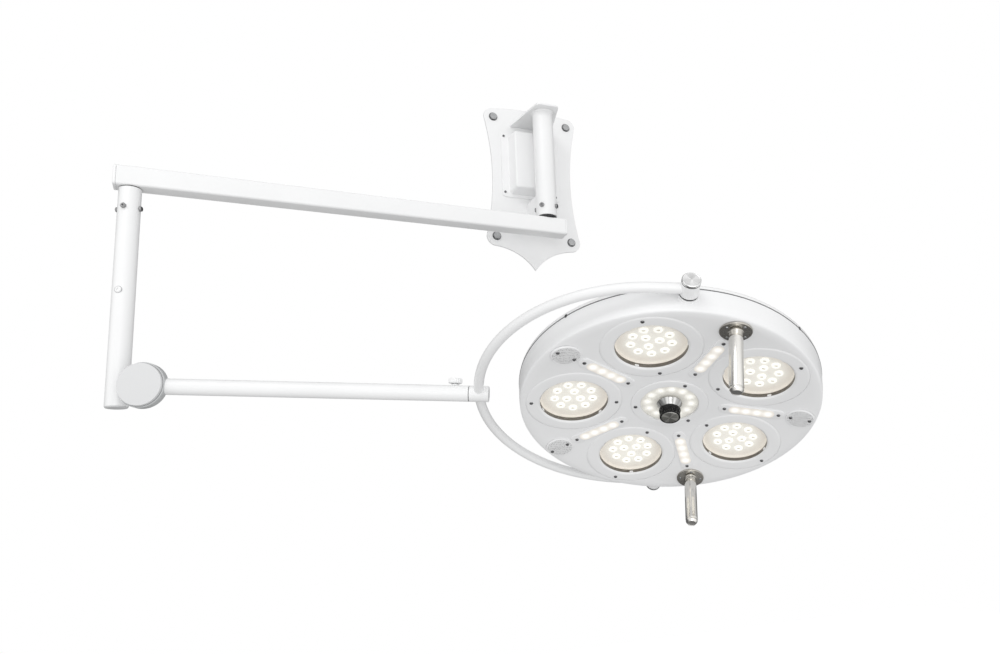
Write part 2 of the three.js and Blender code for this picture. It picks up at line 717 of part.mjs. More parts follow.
// ---- head ----
function dish(radius) {
  return DISH_CENTRE - (radius * radius) / DISH_TWICE_RADIUS;
}

// turns a face fitting made about +Z square to the dish and moves it out to a circle
function onFace(geometry, circle, angle, lean, height) {
  geometry.rotateY(lean * RAD);
  return geometry.translate(circle, 0, height).rotateZ(angle * RAD);
}

const moduleAngles = [0, 1, 2, 3, 4].map((k) => 180 + PATTERN_TURN + 72 * k);
const fittingAngles = [0, 1, 2, 3, 4].map((k) => PATTERN_TURN + 72 * k);
const grilleAngles = [fittingAngles[0], fittingAngles[2], fittingAngles[3]];
const handleAngles = [fittingAngles[1], fittingAngles[4]];

function onModule(geometry, angle) {
  return onFace(geometry, MODULE_CIRCLE, angle, MODULE_LEAN, MODULE_HEIGHT);
}

// points on the dish from the axis out to the rim, raised by offset
function dishPoints(offset, last = DISH_STEPS) {
  const points = [];
  for (let step = 0; step <= last; step += 1) {
    const radius = (RIM_RADIUS * step) / DISH_STEPS;
    points.push([radius, dish(radius) + offset]);
  }
  return points;
}

function buildFrontHousing(face) {
  const edge = dish(RIM_RADIUS);
  const profile = [
    ...dishPoints(0),
    [RIM_RADIUS + 3.5, edge + 1.2],
    [RIM_RADIUS + 6, edge + 4.5],
    [RIM_RADIUS + 7.5, edge + 10.5],
    [HEAD_RADIUS, SEAM_HEIGHT - GAP],
    [HEAD_RADIUS - SHELL, SEAM_HEIGHT - GAP],
    [RIM_RADIUS + 4, edge + 11.5],
    [RIM_RADIUS - 2, edge + FACE_SHELL + 1],
    ...dishPoints(FACE_SHELL, DISH_STEPS - 1).reverse(),
  ];
  const tools = [];
  for (const angle of moduleAngles) {
    const pocket = lathe([
      [0, -PAST],
      [MODULE_RADIUS + GAP, -PAST],
      [MODULE_RADIUS + GAP, BEZEL_THICK + GAP],
      [MODULE_HOLE, BEZEL_THICK + GAP],
      [MODULE_HOLE, 2 * PAST],
      [0, 2 * PAST],
    ], MEDIUM);
    tools.push(onModule(pocket, angle));
  }
  tools.push(lathe([
    [0, -PAST],
    [CENTRE_RADIUS + GAP, -PAST],
    [CENTRE_RADIUS + GAP, CENTRE_SEAT + GAP],
    [CENTRE_HOLE, CENTRE_SEAT + GAP],
    [CENTRE_HOLE, CENTRE_SEAT + PAST],
    [0, CENTRE_SEAT + PAST],
  ], MEDIUM));
  for (const angle of [-90, 90]) {
    const hole = alongX(disc(PIN_RADIUS + GAP, RIM_RADIUS - PAST, HEAD_RADIUS + PAST));
    tools.push(hole.translate(0, 0, FACE_BELOW_PIVOT).rotateZ(angle * RAD));
  }
  add(face, 'head_front_housing', cut(lathe(profile, LARGE), ...tools), white());
}

function buildRearCover(face) {
  const outside = [
    [0, COVER_HEIGHT],
    [140, COVER_HEIGHT - 3],
    [220, COVER_HEIGHT - 9.5],
    [262, COVER_HEIGHT - 18.5],
    [284, COVER_HEIGHT - 28],
    [293, COVER_HEIGHT - 35],
    [HEAD_RADIUS, COVER_HEIGHT - 40],
    [HEAD_RADIUS, SEAM_HEIGHT],
  ];
  const inside = [
    [HEAD_RADIUS - SHELL, SEAM_HEIGHT],
    [HEAD_RADIUS - SHELL, COVER_HEIGHT - 41.5],
    [290.5, COVER_HEIGHT - 37],
    [282, COVER_HEIGHT - 30.5],
    [261, COVER_HEIGHT - 21.5],
    [219, COVER_HEIGHT - 12.5],
    [140, COVER_HEIGHT - 6],
    [0, COVER_HEIGHT - SHELL],
  ];
  add(face, 'head_rear_cover', lathe([...outside, ...inside].reverse(), LARGE), white());

  const rim = HEAD_RADIUS - SHELL - 3;
  const flange = SEAM_HEIGHT - 1;
  const pan = lathe([
    [0, PAN_HEIGHT],
    [PAN_RADIUS, PAN_HEIGHT],
    [PAN_RADIUS, flange - PAN_THICK],
    [rim, flange - PAN_THICK],
    [rim, flange],
    [PAN_RADIUS - PAN_THICK, flange],
    [PAN_RADIUS - PAN_THICK, PAN_HEIGHT + PAN_THICK],
    [0, PAN_HEIGHT + PAN_THICK],
  ], MEDIUM);
  add(face, 'light_engine_pan', pan, sheetAluminium());
}

function buildModules(face) {
  moduleAngles.forEach((angle, index) => {
    const sleeve = MODULE_HOLE - GAP;
    const bezel = lathe([
      [MODULE_OPENING, LIP_DEPTH],
      [MODULE_OPENING + LIP_WIDTH, 0],
      [MODULE_RADIUS - EDGE, 0],
      [MODULE_RADIUS, EDGE],
      [MODULE_RADIUS, BEZEL_THICK],
      [sleeve, BEZEL_THICK],
      [sleeve, BEZEL_SLEEVE],
      [MODULE_OPENING, BEZEL_SLEEVE],
      [MODULE_OPENING, LIP_DEPTH],
    ], MEDIUM);
    add(face, `module_${index + 1}_bezel`, onModule(bezel, angle), white());
    const lens = disc(MODULE_OPENING - GAP, LENS_RECESS, LENS_RECESS + LENS_THICK, MEDIUM);
    add(face, `module_${index + 1}_window`, onModule(lens, angle), glass());
  });
}

function buildCentre(face) {
  const sleeve = CENTRE_HOLE - GAP;
  const bezel = lathe([
    [CENTRE_OPENING, CENTRE_HEIGHT + EDGE],
    [CENTRE_OPENING + EDGE, CENTRE_HEIGHT],
    [CENTRE_RADIUS - EDGE, CENTRE_HEIGHT],
    [CENTRE_RADIUS, CENTRE_HEIGHT + EDGE],
    [CENTRE_RADIUS, CENTRE_SEAT],
    [sleeve, CENTRE_SEAT],
    [sleeve, CENTRE_SEAT + CENTRE_SLEEVE],
    [CENTRE_OPENING, CENTRE_SEAT + CENTRE_SLEEVE],
    [CENTRE_OPENING, CENTRE_HEIGHT + EDGE],
  ], MEDIUM);
  add(face, 'centre_bezel', bezel, white());
  const front = CENTRE_HEIGHT + CENTRE_RECESS;
  const pane = disc(CENTRE_OPENING - GAP, front, front + LENS_THICK, MEDIUM, KNOB_STEM + GAP);
  add(face, 'centre_window', pane, glass());
  const cone = lathe([
    [0, KNOB_TOP + GAP],
    [CONE_SMALL, KNOB_TOP + GAP],
    [CONE_LARGE, front - GAP - EDGE],
    [CONE_LARGE, front - GAP],
    [KNOB_STEM, front - GAP],
    [KNOB_STEM, PAN_HEIGHT - GAP],
    [0, PAN_HEIGHT - GAP],
  ], MEDIUM);
  add(face, 'focus_cone', cone, steel());
}

function buildFocusKnob(face) {
  const knob = lathe([
    [0, KNOB_BOTTOM],
    [KNOB_RADIUS - 1.5, KNOB_BOTTOM],
    [KNOB_RADIUS - 0.5, KNOB_BOTTOM + 1.5],
    [KNOB_RADIUS + 0.6, KNOB_TOP - 3],
    [KNOB_RADIUS + 1, KNOB_TOP - 1],
    [KNOB_RADIUS, KNOB_TOP],
    [0, KNOB_TOP],
  ], MEDIUM);
  add(face, 'focus_knob', knob, blackPlastic());
}

function buildGrilles(face) {
  grilleAngles.forEach((angle, index) => {
    const cap = lathe([
      [0, -4.5],
      [15, -3.8],
      [24, -2.2],
      [GRILLE_RADIUS, -0.6],
      [GRILLE_RADIUS, FITTING_SEAT],
      [0, FITTING_SEAT],
    ], SMALL);
    add(face, `grille_cap_${index + 1}`, onFitting(cap, angle), white());
  });
}

// fittings near the rim sit proud of the dish so that their flat backs clear it
function onFitting(geometry, angle) {
  const height = dish(FITTING_CIRCLE) - FITTING_STANDOFF;
  return onFace(geometry, FITTING_CIRCLE, angle, FITTING_LEAN, height);
}

function buildHandles(face) {
  handleAngles.forEach((angle, index) => {
    const label = `handle_${index + 1}`;
    const stud = disc(STUD_RADIUS, STUD_END - HANDLE_LENGTH, -HUB_HEIGHT + EDGE);
    const flange = lathe([
      [0, -HUB_HEIGHT],
      [HUB_SMALL, -HUB_HEIGHT],
      [HUB_LARGE, -FLANGE_THICK - EDGE],
      [FLANGE_RADIUS - EDGE, -FLANGE_THICK],
      [FLANGE_RADIUS, EDGE - FLANGE_THICK],
      [FLANGE_RADIUS, FITTING_SEAT],
      [0, FITTING_SEAT],
    ], SMALL);
    add(face, `${label}_mount`, onFitting(join(stud, flange), angle), steel());
    add(face, `${label}_sleeve`, onFitting(handleSleeve(), angle), steel());
  });
}

// a cup that slides over the stud of a handle mount, closed at its far end
function handleSleeve() {
  const bore = STUD_RADIUS + GAP;
  const start = -HUB_HEIGHT - GAP;
  const floor = STUD_END - EDGE - HANDLE_LENGTH;
  return lathe([
    [0, -HANDLE_LENGTH],
    [GRIP_RADIUS - SLEEVE_TIP, -HANDLE_LENGTH],
    [GRIP_RADIUS - EDGE, SLEEVE_TIP - EDGE - HANDLE_LENGTH],
    [GRIP_RADIUS - EDGE, 2 * SLEEVE_TIP - HANDLE_LENGTH],
    [GRIP_RADIUS, 2 * SLEEVE_TIP + EDGE - HANDLE_LENGTH],
    [GRIP_RADIUS, start - EDGE],
    [GRIP_RADIUS - EDGE, start],
    [bore, start],
    [bore, floor],
    [0, floor],
  ], SMALL);
}

function buildPivotPins(head) {
  [['upper', 1], ['lower', -1]].forEach(([label, side]) => {
    const headEnd = PIN_HEAD_START + PIN_HEAD_THICK;
    const tip = HOUSING_END - HOUSING_FLOOR - EDGE;
    const pin = alongY(lathe([
      [0, PIN_HEAD_START],
      [PIN_RADIUS + PIN_HEAD_OVER, PIN_HEAD_START],
      [PIN_RADIUS + PIN_HEAD_OVER, headEnd],
      [PIN_RADIUS, headEnd],
      [PIN_RADIUS, tip],
      [0, tip],
    ], SMALL));
    add(head, `${label}_pivot_pin`, placeOnSide(pin, side), steel());
    const inner = RING_INNER_FACE;
    const ring = disc(HOUSING_RADIUS - EDGE, inner, inner + RING_THICK, SMALL, PIN_RADIUS + GAP);
    add(head, `${label}_pivot_ring`, placeOnSide(alongY(ring), side), rubber());
  });
}

// ---- assembly ----
buildWallPlate();
buildWallBolts();
buildBracket();
buildColumn();
buildDriverBox();

const armOne = childGroup(light, 0, -COLUMN_STANDOFF, ARM_ONE_Z);
armOne.rotation.z = (180 + ARM_ONE_YAW) * RAD;
buildArmOne(armOne);

const drop = childGroup(armOne, ARM_ONE_LENGTH, 0, 0);
drop.rotation.z = (ARM_TWO_YAW - 180 - ARM_ONE_YAW) * RAD;
buildDrop(drop);

const armTwo = childGroup(drop, HINGE_OUT, -HINGE_FRONT, -HINGE_DROP);
armTwo.rotation.y = ARM_TWO_DIP * RAD;
buildArmTwo(armTwo);
buildClampKnob(armTwo);

const bow = childGroup(armTwo, COUPLING_AT + BOW_APEX + BOW_RADIUS + BOW_LEG, 0, 0);
bow.rotation.x = -BOW_ROLL * RAD;
buildBow(bow);

const head = childGroup(bow, 0, 0, 0);
head.rotation.y = HEAD_TILT * RAD;
buildPivotPins(head);
const face = childGroup(head, 0, 0, -FACE_BELOW_PIVOT);
buildFrontHousing(face);
buildRearCover(face);
buildModules(face);
buildCentre(face);
buildFocusKnob(face);
buildGrilles(face);
buildHandles(face);

export default light;
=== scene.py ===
"""Looks for the wall-mounted surgical light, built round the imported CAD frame.

Sizes below are in millimetres; every piece is turned into metres when it is placed.
"""
import json
import math

import bmesh
import bpy
from mathutils import Matrix, Vector


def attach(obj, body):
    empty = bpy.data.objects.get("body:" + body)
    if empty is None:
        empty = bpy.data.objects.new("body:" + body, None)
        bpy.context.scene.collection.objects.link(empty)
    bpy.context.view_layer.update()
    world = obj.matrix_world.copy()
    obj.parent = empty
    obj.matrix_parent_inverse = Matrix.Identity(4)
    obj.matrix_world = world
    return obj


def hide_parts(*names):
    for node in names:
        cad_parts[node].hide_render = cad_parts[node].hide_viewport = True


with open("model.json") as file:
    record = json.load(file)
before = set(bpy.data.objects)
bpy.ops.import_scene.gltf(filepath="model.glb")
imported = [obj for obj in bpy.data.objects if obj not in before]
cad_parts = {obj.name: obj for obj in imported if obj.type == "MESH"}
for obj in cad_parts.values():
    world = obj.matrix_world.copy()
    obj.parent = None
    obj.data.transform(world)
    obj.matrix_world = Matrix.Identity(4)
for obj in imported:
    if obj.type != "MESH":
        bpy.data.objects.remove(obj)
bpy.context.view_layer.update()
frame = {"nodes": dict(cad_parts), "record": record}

MM = 0.001


# ---- camera ----
CAMERA_AT = (-0.7037, -1.9282, -0.9018)
CAMERA_YAW = 25.09
CAMERA_PITCH = 11.57
CAMERA_ROLL = -3.37
LENS_LENGTH = 29.18
LENS_SHIFT = (-0.1088, 0.0253)


def make_camera():
    yaw, pitch, roll = (math.radians(a) for a in (CAMERA_YAW, CAMERA_PITCH, CAMERA_ROLL))
    ahead = Vector((
        math.sin(yaw) * math.cos(pitch), math.cos(yaw) * math.cos(pitch), math.sin(pitch),
    ))
    level = Vector((math.cos(yaw), -math.sin(yaw), 0.0))
    right = level * math.cos(roll) + level.cross(ahead) * math.sin(roll)
    up = right.cross(ahead)
    data = bpy.data.cameras.new("camera")
    data.sensor_width = 36.0
    data.sensor_fit = "HORIZONTAL"
    data.lens = LENS_LENGTH
    data.shift_x, data.shift_y = LENS_SHIFT
    data.clip_end = 60.0
    camera = bpy.data.objects.new("camera", data)
    turn = Matrix((right, up, -ahead)).transposed()
    camera.matrix_world = Matrix.Translation(CAMERA_AT) @ turn.to_4x4()
    bpy.context.collection.objects.link(camera)
    bpy.context.scene.camera = camera


make_camera()


# ---- frames of the moving bodies, in millimetres ----
def shift(x, y, z):
    return Matrix.Translation((x, y, z))


def spin(axis, degrees):
    return Matrix.Rotation(math.radians(degrees), 4, axis)


COLUMN_Y = -101.5
ARM_1_Z = -168.4
ARM_1_LENGTH = 914.4
HINGE_X = 60.4
HINGE_Y = -18
HINGE_Z = -434.4
ARM_2_LENGTH = 616.2
COUPLING_REACH = 19.6
BOW_RADIUS = 312.2
BOW_CENTRE = 61.0
FACE_Z = -26.75

WALL = Matrix.Identity(4)
ARM_1 = shift(0, COLUMN_Y, ARM_1_Z) @ spin("Z", 181.94)
DROP = ARM_1 @ shift(ARM_1_LENGTH, 0, 0) @ spin("Z", -203.34)
ARM_2 = DROP @ shift(HINGE_X, HINGE_Y, HINGE_Z) @ spin("Y", 4.185)
TO_PIVOTS = ARM_2_LENGTH + COUPLING_REACH + BOW_RADIUS + BOW_CENTRE
BOW = ARM_2 @ shift(TO_PIVOTS, 0, 0) @ spin("X", -27.56)
HEAD = BOW @ spin("Y", 1.36)
FACE = HEAD @ shift(0, 0, FACE_Z)

# Turns that lay a lathe's z axis along x, along y or out of the wall, or point it at the room.
TO_X = spin("Y", 90)
TO_Y = spin("X", -90)
TO_FRONT = spin("X", 90)
FLIP = spin("X", 180)
PIVOTS = (("upper", BOW @ TO_FRONT), ("lower", BOW @ TO_Y))

# The five modules, strips and fittings on the head's face.
PATTERN_TURN = 1.67
MODULE_CIRCLE = 187
MODULE_LEAN = 5.2
MODULE_HEIGHT = 2.6
STRIP_CIRCLE = 162.5
STRIP_LEAN = 4.5
FITTING_CIRCLE = 258.5
FITTING_LEAN = 8.5
FITTING_STANDOFF = 1.0
FACE_DEPTH = 14.2
FACE_CURVE = 4118.0


def dish(radius):
    """Height of the hollow face above its own zero plane."""
    return FACE_DEPTH - radius * radius / FACE_CURVE


def on_face(circle, angle, lean, height):
    return FACE @ spin("Z", angle) @ shift(circle, 0, height) @ spin("Y", lean)


MODULE_ANGLES = [180 + PATTERN_TURN + 72 * k for k in range(5)]
MODULES = [on_face(MODULE_CIRCLE, angle, MODULE_LEAN, MODULE_HEIGHT) for angle in MODULE_ANGLES]
FITTING_ANGLES = [PATTERN_TURN + 72 * k for k in range(5)]


def fitting(k):
    height = dish(FITTING_CIRCLE) - FITTING_STANDOFF
    return on_face(FITTING_CIRCLE, FITTING_ANGLES[k], FITTING_LEAN, height)


GRILLES = [fitting(k) for k in (0, 2, 3)]
HANDLES = [fitting(k) for k in (1, 4)]


# ---- materials ----
def new_material(name):
    material = bpy.data.materials.new(name)
    material.use_nodes = True
    tree = material.node_tree
    return material, tree, tree.nodes["Principled BSDF"]


def node(tree, kind, **inputs):
    made = tree.nodes.new(kind)
    for key, value in inputs.items():
        made.inputs[key.replace("_", " ")].default_value = value
    return made


def ramp(tree, source, low, high, start=0.3, end=0.7):
    """Maps source to the range from low to high: numbers or colours."""
    mix = tree.nodes.new("ShaderNodeMapRange" if isinstance(low, float) else "ShaderNodeValToRGB")
    if isinstance(low, float):
        mix.inputs["From Min"].default_value = start
        mix.inputs["From Max"].default_value = end
        mix.inputs["To Min"].default_value = low
        mix.inputs["To Max"].default_value = high
        tree.links.new(source, mix.inputs["Value"])
        return mix.outputs["Result"]
    mix.color_ramp.elements[0].position = start
    mix.color_ramp.elements[0].color = (*low, 1)
    mix.color_ramp.elements[1].position = end
    mix.color_ramp.elements[1].color = (*high, 1)
    tree.links.new(source, mix.inputs["Fac"])
    return mix.outputs["Color"]


def texture(tree, kind, **inputs):
    """A texture laid on the piece's own coordinates."""
    made = node(tree, kind, **inputs)
    where = tree.nodes.new("ShaderNodeTexCoord").outputs["Object"]
    tree.links.new(where, made.inputs["Vector"])
    return made


def emboss(tree, shader, height, strength, distance):
    relief = node(tree, "ShaderNodeBump", Strength=strength, Distance=distance)
    tree.links.new(height, relief.inputs["Height"])
    tree.links.new(relief.outputs["Normal"], shader.inputs["Normal"])


def shaded(colour, share):
    return tuple(c * share for c in colour)


def vary(tree, shader, source, colour, share, rough_low, rough_high):
    """Lets one texture move the colour, down to a share of itself, and the roughness."""
    tone = ramp(tree, source, shaded(colour, share), colour)
    tree.links.new(tone, shader.inputs["Base Color"])
    gloss = ramp(tree, source, rough_low, rough_high)
    tree.links.new(gloss, shader.inputs["Roughness"])


def mixed(tree, share, first, second):
    """Blends two shaders: all first at 0, all second at 1."""
    blend = tree.nodes.new("ShaderNodeMixShader")
    tree.links.new(share, blend.inputs["Fac"])
    tree.links.new(first, blend.inputs[1])
    tree.links.new(second, blend.inputs[2])
    return blend.outputs["Shader"]


def coated(name, colour, roughness, grain=1100.0, bump=0.06, coat=0.0, sheen=0.5):
    """Powder coat or moulding: a fine orange peel, and slow drifts of tone and gloss."""
    material, tree, shader = new_material(name)
    peel = texture(tree, "ShaderNodeTexNoise", Scale=grain, Detail=3.0, Roughness=0.6)
    drift = texture(tree, "ShaderNodeTexNoise", Scale=9.0, Detail=4.0, Roughness=0.55)
    vary(tree, shader, drift.outputs["Fac"], colour, 0.975, roughness - 0.05, roughness + 0.05)
    emboss(tree, shader, peel.outputs["Fac"], bump, 0.0002)
    shader.inputs["Coat Weight"].default_value = coat
    shader.inputs["Specular IOR Level"].default_value = sheen
    return material


def speckled(name, hole, web, roughness):
    """A fine perforated mesh: small dark pits in a light web."""
    material, tree, shader = new_material(name)
    pits = texture(tree, "ShaderNodeTexVoronoi", Scale=300.0, Randomness=0.5)
    tone = ramp(tree, pits.outputs["Distance"], hole, web, 0.12, 0.42)
    tree.links.new(tone, shader.inputs["Base Color"])
    shader.inputs["Roughness"].default_value = roughness
    emboss(tree, shader, pits.outputs["Distance"], 0.5, 0.0006)
    return material


def turned_metal(name, colour, roughness, lines=5200.0, anisotropy=0.6, painted_streaks=0.0, depth=0.5):
    """Metal turned on a lathe: fine rings that follow each piece's own turning direction.

    With a count of sectors above zero, light and dark sectors run round the axis: painted highlight
    and shade, standing in for the reflections seen on a spun face.
    """
    material, tree, shader = new_material(name)
    shader.inputs["Metallic"].default_value = 1.0
    shader.inputs["Anisotropic"].default_value = anisotropy
    where = tree.nodes.new("ShaderNodeTexCoord").outputs["UV"]
    stretch = tree.nodes.new("ShaderNodeMapping")
    stretch.inputs["Scale"].default_value = (2.0, lines, 1.0)
    tree.links.new(where, stretch.inputs["Vector"])
    rings = node(tree, "ShaderNodeTexNoise", Scale=1.0, Detail=4.0, Roughness=0.7)
    tree.links.new(stretch.outputs["Vector"], rings.inputs["Vector"])
    tone = ramp(tree, rings.outputs["Fac"], shaded(colour, 0.88), colour)
    # Painted reflection: light and dark sectors multiplied into the base colour.
    if painted_streaks:
        tone = painted_reflection_sectors(tree, where, tone, painted_streaks, depth)
    tree.links.new(tone, shader.inputs["Base Color"])
    gloss = ramp(tree, rings.outputs["Fac"], roughness - 0.06, roughness + 0.08)
    tree.links.new(gloss, shader.inputs["Roughness"])
    emboss(tree, shader, rings.outputs["Fac"], 0.04, 0.00005)
    tangent = tree.nodes.new("ShaderNodeTangent")
    tangent.direction_type = "UV_MAP"
    tangent.uv_map = "UVMap"
    tree.links.new(tangent.outputs["Tangent"], shader.inputs["Tangent"])
    return material


def painted_reflection_sectors(tree, where, tone, painted_streaks, depth):
    """Multiplies a colour by soft sectors round the axis, with a little unevenness: painted
    highlight and shade.
    """
    around = tree.nodes.new("ShaderNodeSeparateXYZ")
    tree.links.new(where, around.inputs["Vector"])
    turns = tree.nodes.new("ShaderNodeMath")
    turns.operation = "MULTIPLY"
    turns.inputs[1].default_value = 2 * math.pi * painted_streaks
    tree.links.new(around.outputs["X"], turns.inputs[0])
    wave = tree.nodes.new("ShaderNodeMath")
    wave.operation = "SINE"
    tree.links.new(turns.outputs["Value"], wave.inputs[0])
    grey = ramp(tree, wave.outputs["Value"], (1 - depth,) * 3, (1.0,) * 3, 0.0, 1.0)
    blend = tree.nodes.new("ShaderNodeMix")
    blend.data_type = "RGBA"
    blend.blend_type = "MULTIPLY"
    blend.inputs["Factor"].default_value = 1.0
    tree.links.new(tone, blend.inputs[6])
    tree.links.new(grey, blend.inputs[7])
    return blend.outputs[2]


def plain_metal(name, colour, roughness):
    """Bare metal on parts that have no turning marks: fine random scratches."""
    material, tree, shader = new_material(name)
    shader.inputs["Metallic"].default_value = 1.0
    grain = texture(tree, "ShaderNodeTexNoise", Scale=700.0, Detail=5.0, Roughness=0.7)
    vary(tree, shader, grain.outputs["Fac"], colour, 0.75, roughness - 0.08, roughness + 0.1)
    emboss(tree, shader, grain.outputs["Fac"], 0.1, 0.0001)
    return material


def glowing(name, surface, light, base_glow, peak):
    """A lit surface: light fades with the 'glow' value stored on its points."""
    material, tree, shader = new_material(name)
    amount = tree.nodes.new("ShaderNodeAttribute")
    amount.attribute_name = "glow"
    frost = texture(tree, "ShaderNodeTexNoise", Scale=1500.0, Detail=2.0)
    tone = ramp(tree, frost.outputs["Fac"], shaded(surface, 0.95), surface)
    tree.links.new(tone, shader.inputs["Base Color"])
    shader.inputs["Roughness"].default_value = 0.35
    tint = tree.nodes.new("ShaderNodeValToRGB")
    tint.color_ramp.elements[0].position = 0.0
    tint.color_ramp.elements[0].color = (*light, 1)
    tint.color_ramp.elements[1].position = 0.75
    tint.color_ramp.elements[1].color = (1.0, 0.985, 0.95, 1)
    tree.links.new(amount.outputs["Fac"], tint.inputs["Fac"])
    tree.links.new(tint.outputs["Color"], shader.inputs["Emission Color"])
    power = ramp(tree, amount.outputs["Fac"], base_glow, peak, 0.0, 1.0)
    tree.links.new(power, shader.inputs["Emission Strength"])
    return material


def window_glass(name):
    """A clear moulded window: see-through, with a soft sheen that grows at a glancing angle."""
    material, tree, shader = new_material(name)
    output = tree.nodes["Material Output"]
    clear = node(tree, "ShaderNodeBsdfTransparent", Color=(0.985, 0.985, 0.975, 1))
    gloss = node(tree, "ShaderNodeBsdfGlossy", Color=(1, 1, 1, 1))
    haze = texture(tree, "ShaderNodeTexNoise", Scale=60.0, Detail=3.0)
    tree.links.new(ramp(tree, haze.outputs["Fac"], 0.06, 0.16), gloss.inputs["Roughness"])
    edge = node(tree, "ShaderNodeLayerWeight", Blend=0.12)
    share = ramp(tree, edge.outputs["Fresnel"], 0.02, 0.5, 0.0, 1.0)
    both = mixed(tree, share, clear.outputs["BSDF"], gloss.outputs["BSDF"])
    tree.links.new(both, output.inputs["Surface"])
    tree.nodes.remove(shader)
    return material


WHITE = coated("white_powder_coat", (0.86, 0.863, 0.866), 0.36, grain=500.0, bump=0.02)
SHELL = coated("white_head_shell", (0.86, 0.863, 0.866), 0.32, grain=700.0, bump=0.03, coat=0.15)
PANEL = coated("white_face_panel", (0.86, 0.863, 0.868), 0.42, grain=1500.0, bump=0.05)
BEZEL = coated("white_bezel", (0.87, 0.873, 0.877), 0.36, grain=1300.0, bump=0.03)
GREY = coated("light_grey_disc", (0.685, 0.69, 0.695), 0.42, grain=900.0, bump=0.04)
# The hinge drum is white-painted; its darker grey is painted shade, for its side that faces away
# from the light.
DRUM = coated("drum_grey_painted_shade", (0.52, 0.53, 0.535), 0.34, grain=700.0, bump=0.03)
GROOVE = coated("dark_grey_groove", (0.20, 0.20, 0.205), 0.5)
BLACK = coated("black_rubber", (0.018, 0.018, 0.02), 0.6, grain=2500.0, bump=0.3)
KNOB_BLACK = coated(
    "black_knob", (0.008, 0.008, 0.009), 0.25, grain=1600.0, bump=0.05, sheen=0.22)
FOOT_GREY = coated("foot_plug_grey", (0.66, 0.665, 0.67), 0.5)
GREY_PLASTIC = coated("grey_plastic", (0.38, 0.385, 0.39), 0.5)
STEEL = turned_metal("stainless_turned", (0.78, 0.765, 0.735), 0.13)
FLANGE = turned_metal("steel_flange", (0.52, 0.50, 0.46), 0.24)
# The pivot caps, the knob cap and the focus cone get painted highlight and shade: light and dark
# sectors round their axis that stand in for reflections.
SPUN = turned_metal(
    "aluminium_spun_painted_sheen", (0.95, 0.95, 0.95), 0.22, lines=3800.0, anisotropy=0.9, painted_streaks=3.0, depth=0.16)
KNOB_CAP = turned_metal(
    "knob_cap_painted_sheen", (0.86, 0.85, 0.80), 0.2, lines=3800.0, anisotropy=0.9, painted_streaks=4.0, depth=0.42)
CONE_STEEL = turned_metal("cone_steel_painted_streaks", (0.70, 0.70, 0.69), 0.16, painted_streaks=9.0, depth=0.45)
BOLT = plain_metal("zinc_bolt", (0.40, 0.405, 0.41), 0.3)
SCREW = plain_metal("dark_screw", (0.20, 0.20, 0.205), 0.3)
SET_SCREW = plain_metal("set_screw", (0.34, 0.34, 0.345), 0.3)
# A dark wall lining each window recess: partly a dark gasket, partly painted shade of the recess.
GASKET_AND_SHADE = coated("recess_gasket_and_painted_shade", (0.15, 0.135, 0.115), 0.4, grain=900.0, bump=0.1)
LIT_PLATE = glowing("lit_plate", (0.81, 0.785, 0.75), (1.0, 0.90, 0.81), 0.23, 0.33)
LIT_STRIP = glowing("lit_strip", (0.76, 0.735, 0.69), (1.0, 0.88, 0.74), 0.10, 0.62)
LIT_CENTRE = glowing("lit_centre", (0.85, 0.845, 0.83), (1.0, 0.93, 0.82), 0.12, 0.66)
LED = glowing("led_lens", (0.88, 0.87, 0.83), (1.0, 0.95, 0.86), 0.20, 0.62)
EMITTER = coated("led_emitter", (0.42, 0.38, 0.31), 0.4, grain=2000.0)
MESH = speckled("grille_mesh", (0.25, 0.252, 0.255), (0.74, 0.743, 0.746), 0.5)
GLASS = window_glass("window")

SLOTS = {
    "white_paint": WHITE,
    "white_shell": SHELL,
    "grey_face": GREY,
    "bright_steel": BOLT,
    "spun_aluminium": SPUN,
    "pan_aluminium": BOLT,
    "dark_rubber": BLACK,
    "black_plastic": KNOB_BLACK,
    "driver_case": GREY_PLASTIC,
    "window": GLASS,
}


# ---- geometry helpers ----
def rounded(points, steps=5):
    """Rounds the corners of a list of (a, b) or (a, b, radius) points."""
    result = []
    count = len(points)
    for i, point in enumerate(points):
        radius = point[2] if len(point) > 2 else 0.0
        here = Vector(point[:2])
        if radius <= 0:
            result.append(tuple(here))
            continue
        before = Vector(points[i - 1][:2])
        after = Vector(points[(i + 1) % count][:2])
        a = (before - here).normalized()
        b = (after - here).normalized()
        half = a.angle(b) / 2
        reach = radius / math.tan(half)
        centre = here + (a + b).normalized() * (radius / math.sin(half))
        start = here + a * reach - centre
        end = here + b * reach - centre
        sweep = start.angle_signed(end)
        for step in range(steps + 1):
            turned = start.copy()
            turned.rotate(Matrix.Rotation(-sweep * step / steps, 2))
            result.append(tuple(centre + turned))
    return result


